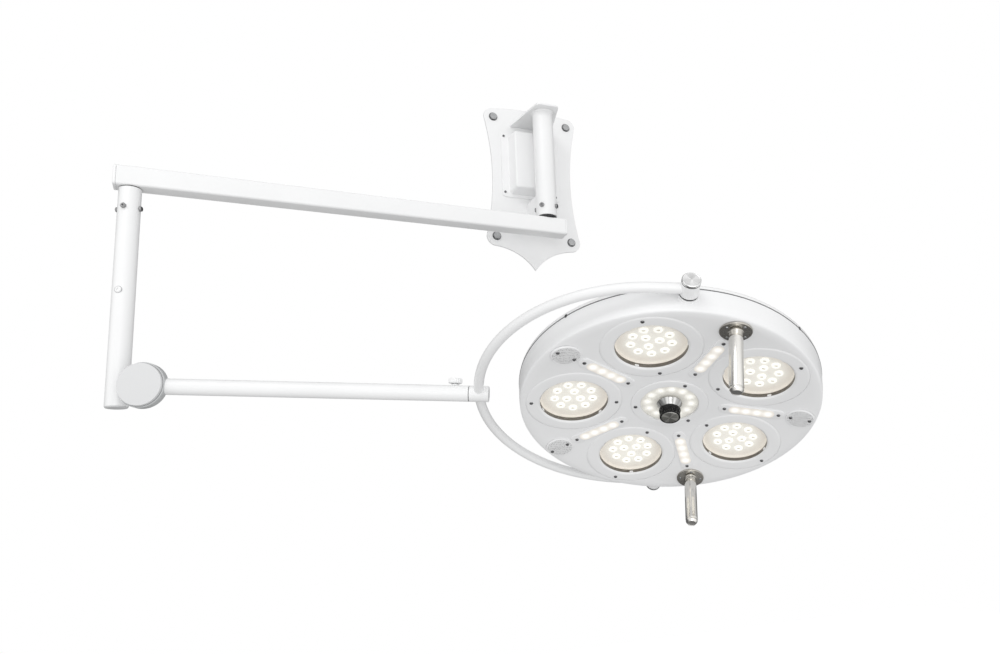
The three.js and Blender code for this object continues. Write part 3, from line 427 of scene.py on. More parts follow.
def lathe(bm, profile, matrix, segments=96, hexagons=(), lobes=None):
    """Turns (radius, z) points about the local z axis.

    Rows named in hexagons get six flats. Lobes is (rows, how many, depth) and flutes those rows.
    """
    layer = bm.loops.layers.uv.get("UVMap") or bm.loops.layers.uv.new("UVMap")
    closed = len(profile) > 2 and (Vector(profile[0]) - Vector(profile[-1])).length < 1e-6
    points = profile[:-1] if closed else profile
    rows = []
    lengths = [0.0]
    for first, second in zip(profile, profile[1:]):
        lengths.append(lengths[-1] + (Vector(second) - Vector(first)).length)
    for index, (radius, z) in enumerate(points):
        if radius < 1e-6:
            rows.append([bm.verts.new(matrix @ Vector((0, 0, z)))])
            continue
        row = []
        for k in range(segments):
            angle = 2 * math.pi * k / segments
            size = radius
            if index in hexagons:
                off_flat = angle % (math.pi / 3) - math.pi / 6
                size = radius * math.cos(math.pi / 6) / math.cos(off_flat)
            if lobes and index in lobes[0]:
                size = radius - lobes[2] * (0.5 - 0.5 * math.cos(lobes[1] * angle))
            spot = Vector((size * math.cos(angle), size * math.sin(angle), z))
            row.append(bm.verts.new(matrix @ spot))
        rows.append(row)
    pairs = list(zip(range(len(rows)), range(1, len(rows))))
    if closed:
        pairs.append((len(rows) - 1, 0))
    for i, j in pairs:
        low, high = rows[i], rows[j]
        span = (lengths[i] * MM, lengths[j if j else len(lengths) - 1] * MM)
        for k in range(segments):
            n = (k + 1) % segments
            u, w = k / segments, (k + 1) / segments
            if len(low) == 1 and len(high) == 1:
                break
            if len(low) == 1:
                corners = [(low[0], u, 0), (high[n], w, 1), (high[k], u, 1)]
            elif len(high) == 1:
                corners = [(low[k], u, 0), (low[n], w, 0), (high[0], u, 1)]
            else:
                corners = [(low[k], u, 0), (low[n], w, 0), (high[n], w, 1), (high[k], u, 1)]
            made = bm.faces.new([c[0] for c in corners])
            for loop, corner in zip(made.loops, corners):
                loop[layer].uv = (corner[1], span[corner[2]])


def loft(bm, rows, matrix):
    """Joins rows of points, each a list of (x, y, z), and closes both ends."""
    made = [[bm.verts.new(matrix @ Vector(p)) for p in row] for row in rows]
    count = len(made[0])
    for low, high in zip(made, made[1:]):
        for k in range(count):
            n = (k + 1) % count
            bm.faces.new((low[k], low[n], high[n], high[k]))
    bm.faces.new(list(reversed(made[0])))
    bm.faces.new(made[-1])


def prism(outline, z0, z1):
    """The two rows of a straight block."""
    return [[(x, y, z) for x, y in outline] for z in (z0, z1)]


def rectangle(half_x, half_y, corner, steps=8):
    signs = ((-1, -1), (1, -1), (1, 1), (-1, 1))
    return rounded([(a * half_x, b * half_y, corner) for a, b in signs], steps)


def stadium(inner, outer, half_width, steps=14):
    """An outline with round ends, from x = inner to x = outer."""
    points = []
    for centre, turn in ((outer - half_width, -90), (inner + half_width, 90)):
        for step in range(steps + 1):
            angle = math.radians(turn + 180 * step / steps)
            points.append((centre + half_width * math.cos(angle), half_width * math.sin(angle)))
    return points


def bar(bm, points, radius, matrix, sides=28):
    """A round bar along points in the local xy plane."""
    rows = []
    for i, point in enumerate(points):
        here = Vector(point)
        after = Vector(points[min(i + 1, len(points) - 1)])
        ahead = (after - Vector(points[max(i - 1, 0)])).normalized()
        across = Vector((-ahead.y, ahead.x, 0))
        row = []
        for k in range(sides):
            angle = 2 * math.pi * k / sides
            above = Vector((0, 0, radius * math.sin(angle)))
            row.append(here + across * radius * math.cos(angle) + above)
        rows.append(row)
    loft(bm, rows, matrix)


def object_from(bm, name):
    """Turns a bmesh in millimetres into an object in metres."""
    bmesh.ops.scale(bm, vec=(MM, MM, MM), verts=bm.verts)
    mesh = bpy.data.meshes.new(name)
    bm.to_mesh(mesh)
    bm.free()
    obj = bpy.data.objects.new(name, mesh)
    bpy.context.collection.objects.link(obj)
    return obj


def piece(name, body, material, slot, bm, bevel=0.0, sharp=32, cutters=(), replaces=(), glow=None):
    """Turns a bmesh in millimetres into a named object that rides on a body."""
    bmesh.ops.recalc_face_normals(bm, faces=bm.faces)
    if glow:
        store = bm.verts.layers.float.new("glow")
        for vert in bm.verts:
            vert[store] = glow(vert.co)
    obj = object_from(bm, name)
    for tool in cutters:
        hole = obj.modifiers.new("hole", "BOOLEAN")
        hole.operation = "DIFFERENCE"
        hole.solver = "EXACT"
        hole.object = tool
    if cutters:
        graph = bpy.context.evaluated_depsgraph_get()
        result = bpy.data.meshes.new_from_object(obj.evaluated_get(graph))
        obj.modifiers.clear()
        obj.data = result
        for tool in cutters:
            bpy.data.objects.remove(tool)
    mesh = obj.data
    mesh.materials.clear()
    mesh.materials.append(material)
    for polygon in mesh.polygons:
        polygon.use_smooth = True
        polygon.material_index = 0
    mesh.set_sharp_from_angle(angle=math.radians(sharp))
    if bevel:
        edges = obj.modifiers.new("bevel", "BEVEL")
        edges.width = bevel * MM
        edges.segments = 3
        edges.limit_method = "ANGLE"
        edges.angle_limit = math.radians(40)
        edges.harden_normals = True
    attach(obj, body)
    if replaces:
        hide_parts(*replaces)
    return obj


def cutter(profile, matrix):
    """A turned shape used to cut a hole."""
    bm = bmesh.new()
    lathe(bm, profile, matrix, segments=128)
    bmesh.ops.recalc_face_normals(bm, faces=bm.faces)
    return object_from(bm, "cutter")


def turned(name, body, material, slot, shapes, segments=96, **options):
    """One object made of turned shapes: each shape is (profile, matrix)."""
    bm = bmesh.new()
    hexagons = options.pop("hexagons", ())
    lobes = options.pop("lobes", None)
    for profile, matrix in shapes:
        lathe(bm, profile, matrix, segments, hexagons, lobes)
    return piece(name, body, material, slot, bm, **options)


def lofted(name, body, material, slot, rows, matrix, **options):
    bm = bmesh.new()
    loft(bm, rows, matrix)
    return piece(name, body, material, slot, bm, **options)


# ---- fasteners ----
def socket_screw(radius, height):
    """A button head with a hexagon socket, standing towards +z. Rows 0 to 2 are the socket."""
    socket = radius * 0.48
    return [
        (0, height * 0.35),
        (socket, height * 0.35),
        (socket, height * 0.93),
        (radius * 0.62, height),
        (radius * 0.86, height * 0.78),
        (radius * 0.98, height * 0.4),
        (radius, 0),
        (0, -0.5),
    ]


def screws(name, body, material, places, radius, height):
    profile = socket_screw(radius, height)
    shapes = [(profile, place) for place in places]
    return turned(name, body, material, "bright_steel", shapes, segments=36, hexagons=(1, 2))


def brake_screws(name, body, centre, start, reach, socket, radius):
    """Four cup-headed screws at a quarter turn from each other round a tube."""
    head = [
        (0, 2.4), (socket, 2.4), (socket, 4.8), (radius - 1.0, 5.0), (radius - 0.1, 4.0),
        (radius, 0), (0, -0.5),
    ]
    places = [centre @ spin("Z", start + 90 * k) @ shift(reach, 0, 0) @ TO_X for k in range(4)]
    turned(name, body, SET_SCREW, "bright_steel", [(head, p) for p in places],
           segments=36, hexagons=(1, 2))


# ---- wall plate, bracket and column ----
# The plate's corners are arcs round these centres, which are also the places of its bolts.
BOLT_X = 104
BOLT_Z = 168
CORNER_RADIUS = 26
PLATE_SEAT = 6.3  # where things on the plate stand, a hair in front of it
COLUMN_RADIUS = 26.3
COLUMN_BORE = 22.3
COVER_X = -4
COVER_Z = 35


def plate_outline():
    """The plate seen from the room: waisted sides, a crowned top and a point at the bottom."""
    points = []
    top, side = BOLT_Z + CORNER_RADIUS, BOLT_X + CORNER_RADIUS

    def curve(a, control, b, steps=24):
        for step in range(1, steps):
            t = step / steps
            points.append(tuple(
                (1 - t) ** 2 * p + 2 * t * (1 - t) * q + t * t * r for p, q, r in zip(a, control, b)
            ))

    def corner(cx, cz, start):
        for step in range(13):
            angle = math.radians(start - 90 * step / 12)
            points.append((
                cx + CORNER_RADIUS * math.cos(angle), cz + CORNER_RADIUS * math.sin(angle),
            ))

    curve((-BOLT_X, top), (0, 206), (BOLT_X, top))
    corner(BOLT_X, BOLT_Z, 90)
    curve((side, BOLT_Z), (90, 0), (side, -BOLT_Z))
    corner(BOLT_X, -BOLT_Z, 0)
    curve((BOLT_X, -top), (36.4, -202), (0, -255))
    points.append((0, -255))
    curve((0, -255), (-36.4, -202), (-BOLT_X, -top))
    corner(-BOLT_X, -BOLT_Z, -90)
    curve((-side, -BOLT_Z), (-90, 0), (-side, BOLT_Z))
    corner(-BOLT_X, BOLT_Z, 180)
    return points


def make_wall_parts():
    lofted("wall_plate_skin", "wall", WHITE, "white_paint", prism(plate_outline(), 0, 6), TO_FRONT,
           bevel=1.0, replaces=["wall_plate"])

    places = [shift(x, 0, z) @ TO_FRONT for x in (-BOLT_X, BOLT_X) for z in (BOLT_Z, -BOLT_Z)]
    head = [
        (0, PLATE_SEAT), (10.2, PLATE_SEAT), (10.2, 9.4), (8.6, 10.8), (4.6, 10.8), (4.2, 10.3),
        (0, 10.3),
    ]
    turned("wall_bolt_heads", "wall", BOLT, "bright_steel", [(head, p) for p in places],
           segments=48, hexagons=(1, 2), replaces=[f"wall_bolt_{k}" for k in (1, 2, 3, 4)])
    # Dark washers under the bolt heads: the dark ring round each head is partly washer, partly
    # painted shadow.
    washer = [(5.6, 6.05), (11.8, 6.05), (11.8, 6.28), (5.6, 6.28), (5.6, 6.05)]
    turned("wall_bolt_washers_and_shadow", "wall", SCREW, "bright_steel", [(washer, p) for p in places],
           segments=48)

    outline = rounded([(-59, -6.3), (59, -6.3), (29, -146, 14), (-29, -146, 14)], 10)
    lofted("bracket_top_skin", "wall", WHITE, "white_paint", prism(outline, 145.3, 150.3), WALL,
           bevel=0.8, replaces=["bracket_top_plate"])
    rows = prism(rectangle(19, 27.5, 1.5, 4), PLATE_SEAT, 86)
    lofted("lower_bracket_skin", "wall", WHITE, "white_paint", rows, shift(0, 0, -102.5) @ TO_FRONT,
           bevel=0.8, replaces=["lower_bracket"])

    column = shift(0, COLUMN_Y, 0)
    tube = rounded([
        (COLUMN_BORE, -142, 0.4), (COLUMN_RADIUS, -142, 0.8), (COLUMN_RADIUS, 145, 0.3),
        (COLUMN_BORE, 145, 0.3),
    ], 3)
    turned("column_skin", "wall", WHITE, "white_paint", [(tube + tube[:1], column)],
           replaces=["column_tube"])
    weld = [(26.2, 141.5), (27.4, 142.4), (29.3, 144.9), (26.2, 145.2), (26.2, 141.5)]
    turned("column_weld", "wall", WHITE, "white_paint", [(weld, column)])

    brake_screws("column_brake_screws", "wall", shift(0, COLUMN_Y, -117.5), start=45,
                 reach=COLUMN_RADIUS - 0.2, socket=2.6, radius=6.0)


def make_driver_cover():
    """A pressed cover: a flat flange, a rounded step and a box that narrows towards the room."""
    rows = []
    for depth, half_x, half_z, corner in (
        (0.0, 81, 92, 10), (1.4, 81, 92, 10), (2.0, 80.4, 91.4, 9.4),
        (2.0, 63, 86, 10), (3.0, 61.2, 84.2, 9), (5.0, 60.6, 83.6, 8.6),
        (38.0, 57.0, 80.0, 7.5), (41.2, 56.2, 79.2, 7.0), (43.2, 54.6, 77.6, 6.0),
        (44.0, 52.0, 75.0, 5.0),
    ):
        outline = rectangle(half_x, half_z, corner, 10)
        rows.append([(x + COVER_X, -PLATE_SEAT - depth, z + COVER_Z) for x, z in outline])
    lofted("driver_cover_skin", "wall", WHITE, "white_paint", rows, WALL, sharp=40,
           replaces=["driver_cover"])
    flange = -PLATE_SEAT - 2.0
    places = [shift(x, flange, z) @ TO_FRONT for x in (-77.5, 64) for z in (115, -44)]
    screws("driver_cover_screws", "wall", SCREW, places, radius=3.4, height=2.2)


# ---- arm 1 ----
ARM_1_HALF = 21
ARM_1_CORNER = 5
# How far the outline of an end cap draws in at each depth from the end of the tube.
CAP_STEPS = ((0.0, 0.7), (0.5, 0.1), (0.9, 0.0), (3.7, 0.0), (4.7, 0.4), (5.4, 1.2), (5.7, 2.2))


def make_arm_one():
    rows = prism(rectangle(ARM_1_HALF, ARM_1_HALF, ARM_1_CORNER, 10), -41.5, 939.4)
    lofted("arm_1_skin", "arm_1", WHITE, "white_paint", rows, ARM_1 @ TO_X, bevel=0.4,
           replaces=["arm_1_tube"])
    for name, sign, start in (("inner", -1, -41.8), ("outer", 1, 939.7)):
        rows = []
        for depth, inset in CAP_STEPS:
            half = ARM_1_HALF - inset
            shape = rectangle(half, half, ARM_1_CORNER - inset * 0.6, 10)
            rows.append([(start + sign * depth, x, z) for x, z in shape])
        lofted(f"arm_1_{name}_cap_skin", "arm_1", WHITE, "white_paint", rows, ARM_1, sharp=50,
               replaces=[f"arm_1_{name}_cap"])


# ---- drop tube and hinge ----
DROP_RADIUS = 20.8
DROP_BORE = 17.2
DROP_BOTTOM = -469.5
DROP_TOP = -23.2
LUG_RADIUS = 24


def make_drop():
    tube = rounded([
        (DROP_BORE, DROP_BOTTOM, 0.4), (DROP_RADIUS, DROP_BOTTOM, 0.9),
        (DROP_RADIUS, DROP_TOP, 0.6), (DROP_BORE, DROP_TOP, 0.3),
    ], 3)
    turned("drop_tube_skin", "drop", WHITE, "white_paint", [(tube + tube[:1], DROP)],
           replaces=["drop_tube"])
    foot = rounded([
        (0, -471.5), (19.0, -471.5, 1.2), (20.3, -469.7, 0.3), (16.8, -469.7), (16.8, -458),
        (0, -458),
    ], 4)
    turned("drop_foot_skin", "drop", FOOT_GREY, "dark_rubber", [(foot, DROP)],
           replaces=["drop_foot_plug"])

    brake_screws("drop_brake_screws", "drop", DROP @ shift(0, 0, -66), start=0,
                 reach=DROP_RADIUS - 0.2, socket=2.3, radius=5.2)
    plug = DROP @ shift(0, 0.4 - DROP_RADIUS, -240) @ TO_FRONT
    turned("drop_plug_screw", "drop", WHITE, "white_paint", [(socket_screw(6.4, 2.6), plug)],
           segments=48, hexagons=(1, 2))
    seal = [(0, 0.4), (7.2, 0.4), (7.2, -1.6), (0, -1.6)]
    turned("drop_plug_seal", "drop", GREY_PLASTIC, "dark_rubber", [(seal, plug)], segments=48)

    outline = [(12, -LUG_RADIUS)]
    for degrees in range(0, 181, 6):
        angle = math.radians(degrees)
        outline.append((HINGE_X + LUG_RADIUS * math.sin(angle), -LUG_RADIUS * math.cos(angle)))
    outline.append((12, LUG_RADIUS))
    lofted("hinge_lug_skin", "drop", WHITE, "white_paint", prism(outline, -3.7, 15.3),
           DROP @ shift(0, 0, HINGE_Z) @ TO_FRONT, bevel=1.0, replaces=["hinge_lug"])
    nut = [(0, 0), (12.5, 0), (12.5, 3.6), (11.4, 4.4), (0, 4.4)]
    back = DROP @ shift(HINGE_X, 4.0, HINGE_Z) @ TO_Y
    turned("hinge_axle_nut", "drop", BOLT, "bright_steel", [(nut, back)], segments=48,
           hexagons=(1, 2), replaces=["hinge_axle"])


ARM_2_RADIUS = 15.7
DRUM_RADIUS = 44.0
DISC_RADIUS = 41


def make_arm_two():
    to_hinge = ARM_2 @ TO_FRONT
    drum = rounded([(0, -0.5), (DRUM_RADIUS, -0.5, 1.0), (DRUM_RADIUS, 17.0, 1.8), (0, 17.0)], 5)
    # The drum's grey is painted shade on a white drum.
    turned("hinge_drum_skin", "arm_2", DRUM, "white_paint", [(drum, to_hinge)], segments=144,
           replaces=["hinge_drum"])
    groove = [(39.0, 16.8), (41.6, 16.8), (41.6, 17.5), (39.0, 17.5), (39.0, 16.8)]
    turned("hinge_groove", "arm_2", GROOVE, "dark_rubber", [(groove, to_hinge)], segments=144)
    disc = rounded([(0, 17.3), (DISC_RADIUS, 17.3, 0.3), (DISC_RADIUS, 24.8, 1.2), (0, 24.8)], 5)
    turned("hinge_disc_skin", "arm_2", GREY, "grey_face", [(disc, to_hinge)], segments=144,
           replaces=["hinge_cover"])
    end = ARM_2_LENGTH - 0.4
    tube = rounded([
        (0, 34.8), (ARM_2_RADIUS, 34.8), (ARM_2_RADIUS, end, 0.3), (12.4, end, 0.2), (12.4, 560),
        (0, 560),
    ], 3)
    turned("arm_2_skin", "arm_2", WHITE, "white_paint", [(tube, ARM_2 @ TO_X)],
           replaces=["arm_2_tube"])


def make_clamp():
    base = ARM_2 @ shift(588.7, 0, 0)
    stem = [(0, 12.5), (5, 12.5), (5, 19.4), (0, 19.4)]
    turned("clamp_stem", "clamp", BOLT, "bright_steel", [(stem, base)], segments=36)
    grip = rounded([
        (0, 19.0), (9.5, 19.0, 0.8), (13.4, 20.4, 1.0), (13.5, 27.4, 1.2), (12.0, 29.0, 1.0),
        (0, 29.0),
    ], 4)
    fluted = set(range(6, len(grip) - 6))
    turned("clamp_grip", "clamp", WHITE, "white_shell", [(grip, base)], segments=144,
           lobes=(fluted, 18, 0.9), replaces=["clamp_knob"])
    boss = [(5.2, 14.5), (7.4, 14.8), (7.0, 17.4), (5.2, 17.6), (5.2, 14.5)]
    turned("clamp_boss", "arm_2", WHITE, "white_paint", [(boss, base)], segments=48)


# ---- bow ----
def make_bow():
    straight = [-10.5 - 50.5 * k / 8 for k in range(8)]
    points = [(x, BOW_RADIUS, 0) for x in straight]
    for step in range(121):
        angle = math.radians(90 + 180 * step / 120)
        points.append((
            BOW_RADIUS * math.cos(angle) - BOW_CENTRE, BOW_RADIUS * math.sin(angle), 0,
        ))
    points += [(x, -BOW_RADIUS, 0) for x in reversed(straight)]
    bm = bmesh.new()
    bar(bm, points, 9.5, BOW)
    piece("bow_skin", "bow", WHITE, "white_paint", bm, sharp=60, replaces=["bow_tube"])

    face = -392.5
    sleeve = rounded([
        (0, face + 0.7), (ARM_2_RADIUS, face + 0.7, 0.3), (ARM_2_RADIUS, face + 38.5, 1.2),
        (0, face + 38.5),
    ], 4)
    plug = [(0, face - 56), (12.1, face - 56), (12.1, face + 1), (0, face + 1)]
    turned("bow_coupling_skin", "bow", WHITE, "white_paint",
           [(sleeve, BOW @ TO_X), (plug, BOW @ TO_X)], replaces=["bow_coupling"])
    seam = [(12.6, face), (15.4, face), (15.4, face + 0.6), (12.6, face + 0.6), (12.6, face)]
    turned("bow_coupling_seam", "bow", GROOVE, "dark_rubber", [(seam, BOW @ TO_X)])

    for label, side in PIVOTS:
        housing = rounded([(0, 301.2), (16.5, 301.2, 0.8), (16.5, 328.0, 0.6), (0, 328.0)], 4)
        turned(f"{label}_pivot_housing_skin", "bow", WHITE, "white_paint", [(housing, side)],
               replaces=[f"{label}_pivot_housing"])
        line = [(0, 327.9), (16.35, 327.9), (16.35, 329.5), (0, 329.5)]
        turned(f"{label}_pivot_shadow_gap", "bow", BLACK, "dark_rubber", [(line, side)])
        cap = rounded([
            (0, 329.4), (16.5, 329.4, 0.4), (16.5, 333.4, 1.0), (15.2, 334.2, 0.4),
            (14.6, 333.9, 0.3), (0.6, 334.0), (0, 334.1),
        ], 4)
        turned(f"{label}_pivot_cap_skin", "bow", SPUN, "spun_aluminium", [(cap, side)],
               replaces=[f"{label}_pivot_cap"])


# ---- head ----
HEAD_RADIUS = 297.0
DISH_RADIUS = 287.0
INNER_RADIUS = 284.0


def make_head_shell():
    radii = [DISH_RADIUS * k / 20 for k in range(21)]
    edge = dish(DISH_RADIUS)
    profile = [(radius, dish(radius)) for radius in radii]
    profile += rounded([
        (DISH_RADIUS, edge), (291.6, edge + 1.4, 4.0), (293.8, 8.0, 12.0), (HEAD_RADIUS, 40.6, 0.6),
        (293.4, 40.6), (290.0, 8.0), (INNER_RADIUS, edge + 5.0),
    ], 6)[1:]
    radii = [INNER_RADIUS * k / 20 for k in range(18, -1, -2)]
    profile += [(radius, dish(radius) + 4.0) for radius in radii]
    bm = bmesh.new()
    lathe(bm, profile, FACE, 192)
    seat = [(0, -9), (93.75, -9), (93.75, 2.7), (70.5, 2.7), (70.5, 25), (0, 25)]
    tools = [cutter(seat, place) for place in MODULES]
    tools.append(cutter([(0, -9), (76.3, -9), (76.3, 14.3), (61, 14.3), (61, 30), (0, 30)], FACE))
    piece("head_face_skin", "head", PANEL, "white_paint", bm, sharp=35, cutters=tools,
          replaces=["head_front_housing"])

    cover = rounded([
        (296.4, 42.8), (HEAD_RADIUS, 43.6, 0.5), (HEAD_RADIUS, 50.0, 6.0), (285.0, 60.5, 16.0),
        (262.0, 70.0, 60.0), (200.0, 80.5, 200.0), (100.0, 87.0, 400.0), (0.0, 88.0),
    ], 8)
    inner = [
        (0.0, 85.0), (100.0, 84.0), (200.0, 77.5), (261.0, 66.5), (282.0, 57.5), (292.0, 49.0),
        (293.4, 45.0), (293.4, 42.8),
    ]
    turned("head_cover_skin", "head", SHELL, "white_shell", [(cover + inner + cover[:1], FACE)],
           segments=192, sharp=40, replaces=["head_rear_cover"])
    seam = [(291.0, 40.9), (297.5, 40.9), (297.5, 42.3), (291.0, 42.3), (291.0, 40.9)]
    turned("head_seam_gasket", "head", GROOVE, "dark_rubber", [(seam, FACE)], segments=192)

    latch = [
        [(out, x * (1 - inset / 8), z * (1 - inset / 5)) for x, z in rectangle(2.4, 3.4, 0.8, 4)]
        for out, inset in ((-1.0, 0), (0.9, 0), (1.4, 0.6))
    ]
    for number, angle in ((1, -134.3), (2, -44.3)):
        lofted(f"seam_latch_{number}", "head", SCREW, "bright_steel", latch,
               FACE @ spin("Z", angle) @ shift(296.6, 0, 41.8), bevel=0.3)


def circle_of(count, radius, start):
    angles = [math.radians(start + 360 * k / count) for k in range(count)]
    return [(radius * math.cos(a), radius * math.sin(a)) for a in angles]


# Heights in a module count from its own rim towards the wall side; the room is at -z.
LAMP_PLANE = 15.6
LED_RADIUS = 8.6
LED_SPOTS = circle_of(9, 38.0, 30) + circle_of(3, 15.4, 90)
CENTRE_SPOTS = circle_of(12, 42.8, 0)
STRIP_SPOTS = [(x, 0.0) for x in (-33.0, -11.0, 11.0, 33.0)]


def halo(spots, matrix, width):
    """Brightness on a plate: the sum of soft spots round each lamp."""
    back = matrix.inverted()

    def amount(point):
        local = back @ point
        total = 0.0
        for x, y in spots:
            total += math.exp(-((local.x - x) ** 2 + (local.y - y) ** 2) / (width * width))
        return min(total, 1.0)

    return amount


def led_shape(radius, base):
    """A round lens: a bright rim round a slightly hollow middle, facing -z."""
    return [
        (0, base - 1.5), (radius * 0.2, base - 1.5), (radius * 0.36, base - 1.7),
        (radius * 0.52, base - 2.2), (radius * 0.7, base - 2.4), (radius * 0.86, base - 2.0),
        (radius * 0.96, base - 1.2), (radius, base - 0.3), (radius, base), (0, base),
    ]


def led_glow(spots, matrix, radius):
    """Brightest on the ring, softer in the middle and where the lens meets the plate."""
    back = matrix.inverted()

    def amount(point):
        local = back @ point
        near = min(spots, key=lambda s: (local.x - s[0]) ** 2 + (local.y - s[1]) ** 2)
        reach = math.hypot(local.x - near[0], local.y - near[1]) / radius
        if reach < 0.45:
            return 0.62
        return 1.0 if reach < 0.9 else 0.8

    return amount


def emitters(name, matrix, spots, z, turn):
    """The emitter behind each lens: a small bar, all of them parallel on the head."""
    bm = bmesh.new()
    for x, y in spots:
        place = matrix @ shift(x, y, 0) @ spin("Z", -turn)
        loft(bm, prism(stadium(-3.3, 3.3, 0.6, 4), z - 0.35, z), place)
    piece(name, "head", EMITTER, "window", bm)


def make_modules():
    screw_places = []
    for number, (place, angle) in enumerate(zip(MODULES, MODULE_ANGLES), 1):
        label = f"module_{number}"
        ring = rounded([
            (66.4, 3.0, 0.5), (69.8, 0.2, 2.2), (91.0, -0.1, 6.0), (93.7, 1.7, 0.5), (93.7, 2.4),
            (70.2, 2.4), (70.2, 10.0), (66.4, 10.0),
        ], 5)
        turned(f"{label}_ring", "head", BEZEL, "white_shell", [(ring + ring[:1], place)],
               segments=144, replaces=[f"{label}_bezel"])
        # A dark sheet on the recess wall: partly gasket, partly painted shade where the recess lies
        # in shadow.
        gasket_and_shade = [(66.05, 3.3), (66.38, 3.3), (66.38, 10.6), (66.05, 10.6), (66.05, 3.3)]
        turned(f"{label}_liner", "head", GASKET_AND_SHADE, "dark_rubber", [(gasket_and_shade, place)], segments=144)
        lit_cup(f"{label}_plate", place)
        lens = led_shape(LED_RADIUS, LAMP_PLANE)
        leds = [(lens, place @ shift(x, y, 0)) for x, y in LED_SPOTS]
        turned(f"{label}_leds", "head", LED, "window", leds, segments=32,
               glow=led_glow(LED_SPOTS, place, LED_RADIUS))
        emitters(f"{label}_emitters", place, LED_SPOTS, LAMP_PLANE - 1.55, angle)
        pane = rounded([(0, 7.0), (65.9, 7.0, 0.3), (65.9, 8.0, 0.3), (0, 8.0)], 3)
        turned(f"{label}_pane", "head", GLASS, "window", [(pane, place)], segments=96,
               replaces=[f"{label}_window"])
        make_clips(label, place)
        screw_places += [place @ shift(x, 0, 0.0) @ FLIP for x in (-82.9, 82.9)]
    screws("module_screws", "head", SCREW, screw_places, radius=3.6, height=1.9)


def make_clips(label, place):
    """Three spring clips at the edge of each opening hold its window."""
    clip = [
        [(out, y, z) for y, z in rectangle(half, 1.7, 0.8, 4)]
        for out, half in ((64.6, 3.4), (65.3, 4.0), (66.0, 4.0))
    ]
    for number, angle in ((1, 95), (2, 215), (3, 335)):
        lofted(f"{label}_clip_{number}", "head", BEZEL, "white_shell", clip,
               place @ spin("Z", angle) @ shift(0, 0, 5.0))


def lit_cup(name, matrix):
    """The lit plate of a module with its sloping side wall, up to the window."""
    profile = [(64.0 * k / 26, LAMP_PLANE) for k in range(27)]
    profile += [
        (65.4, LAMP_PLANE - 1.4), (65.7, 10.7), (66.4, 10.7), (66.4, LAMP_PLANE + 0.8),
        (0, LAMP_PLANE + 0.8),
    ]
    turned(name, "head", LIT_PLATE, "window", [(profile, matrix)],
           glow=halo(LED_SPOTS, matrix, 14.0))


STRIP_LENGTH = 65.5
STRIP_WIDTH = 13.2


def make_strips():
    places = []
    outline = stadium(-STRIP_LENGTH, STRIP_LENGTH, STRIP_WIDTH)
    rows = [
        [(x * (1 - inset / STRIP_LENGTH), y * (1 - inset / STRIP_WIDTH), z) for x, y in outline]
        for z, inset in ((2.5, 0.0), (-2.0, 0.0), (-2.5, 0.3), (-2.7, 1.0))
    ]
    for number, angle in enumerate(FITTING_ANGLES, 1):
        base = on_face(STRIP_CIRCLE, angle, STRIP_LEAN, dish(STRIP_CIRCLE))
        lofted(f"strip_{number}_cover", "head", BEZEL, "white_shell", rows, base, sharp=50)
        bm = bmesh.new()
        fill_grid(bm, base, 45.5, 11.2, -3.2)
        piece(f"strip_{number}_lens", "head", LIT_STRIP, "window", bm,
              glow=halo(STRIP_SPOTS, base, 9.2))
        places += [base @ shift(x, 0, -2.7) @ FLIP for x in (-53.7, 53.7)]
    screws("strip_screws", "head", SCREW, places, radius=3.6, height=1.9)


def fill_grid(bm, matrix, half_length, half_width, z, columns=56, bands=12):
    """A thin slab with round ends, fine enough to carry the halo values."""
    layers = []
    for height in (z, z + 0.6):
        grid = []
        for i in range(columns + 1):
            x = -half_length + 2 * half_length * i / columns
            over = max(0.0, abs(x) - (half_length - half_width))
            reach = math.sqrt(max(half_width ** 2 - over ** 2, 0.04))
            row = []
            for j in range(bands + 1):
                y = -reach + 2 * reach * j / bands
                row.append(bm.verts.new(matrix @ Vector((x, y, height))))
            grid.append(row)
        for i in range(columns):
            for j in range(bands):
                bm.faces.new((
                    grid[i][j], grid[i + 1][j], grid[i + 1][j + 1], grid[i][j + 1],
                ))
        layers.append(grid)
    low, high = layers
    rim = [(i, 0) for i in range(columns)] + [(columns, j) for j in range(bands)]
    rim += [(i, bands) for i in range(columns, 0, -1)] + [(0, j) for j in range(bands, 0, -1)]
    for (a, b), (c, d) in zip(rim, rim[1:] + rim[:1]):
        bm.faces.new((low[a][b], low[c][d], high[c][d], high[a][b]))


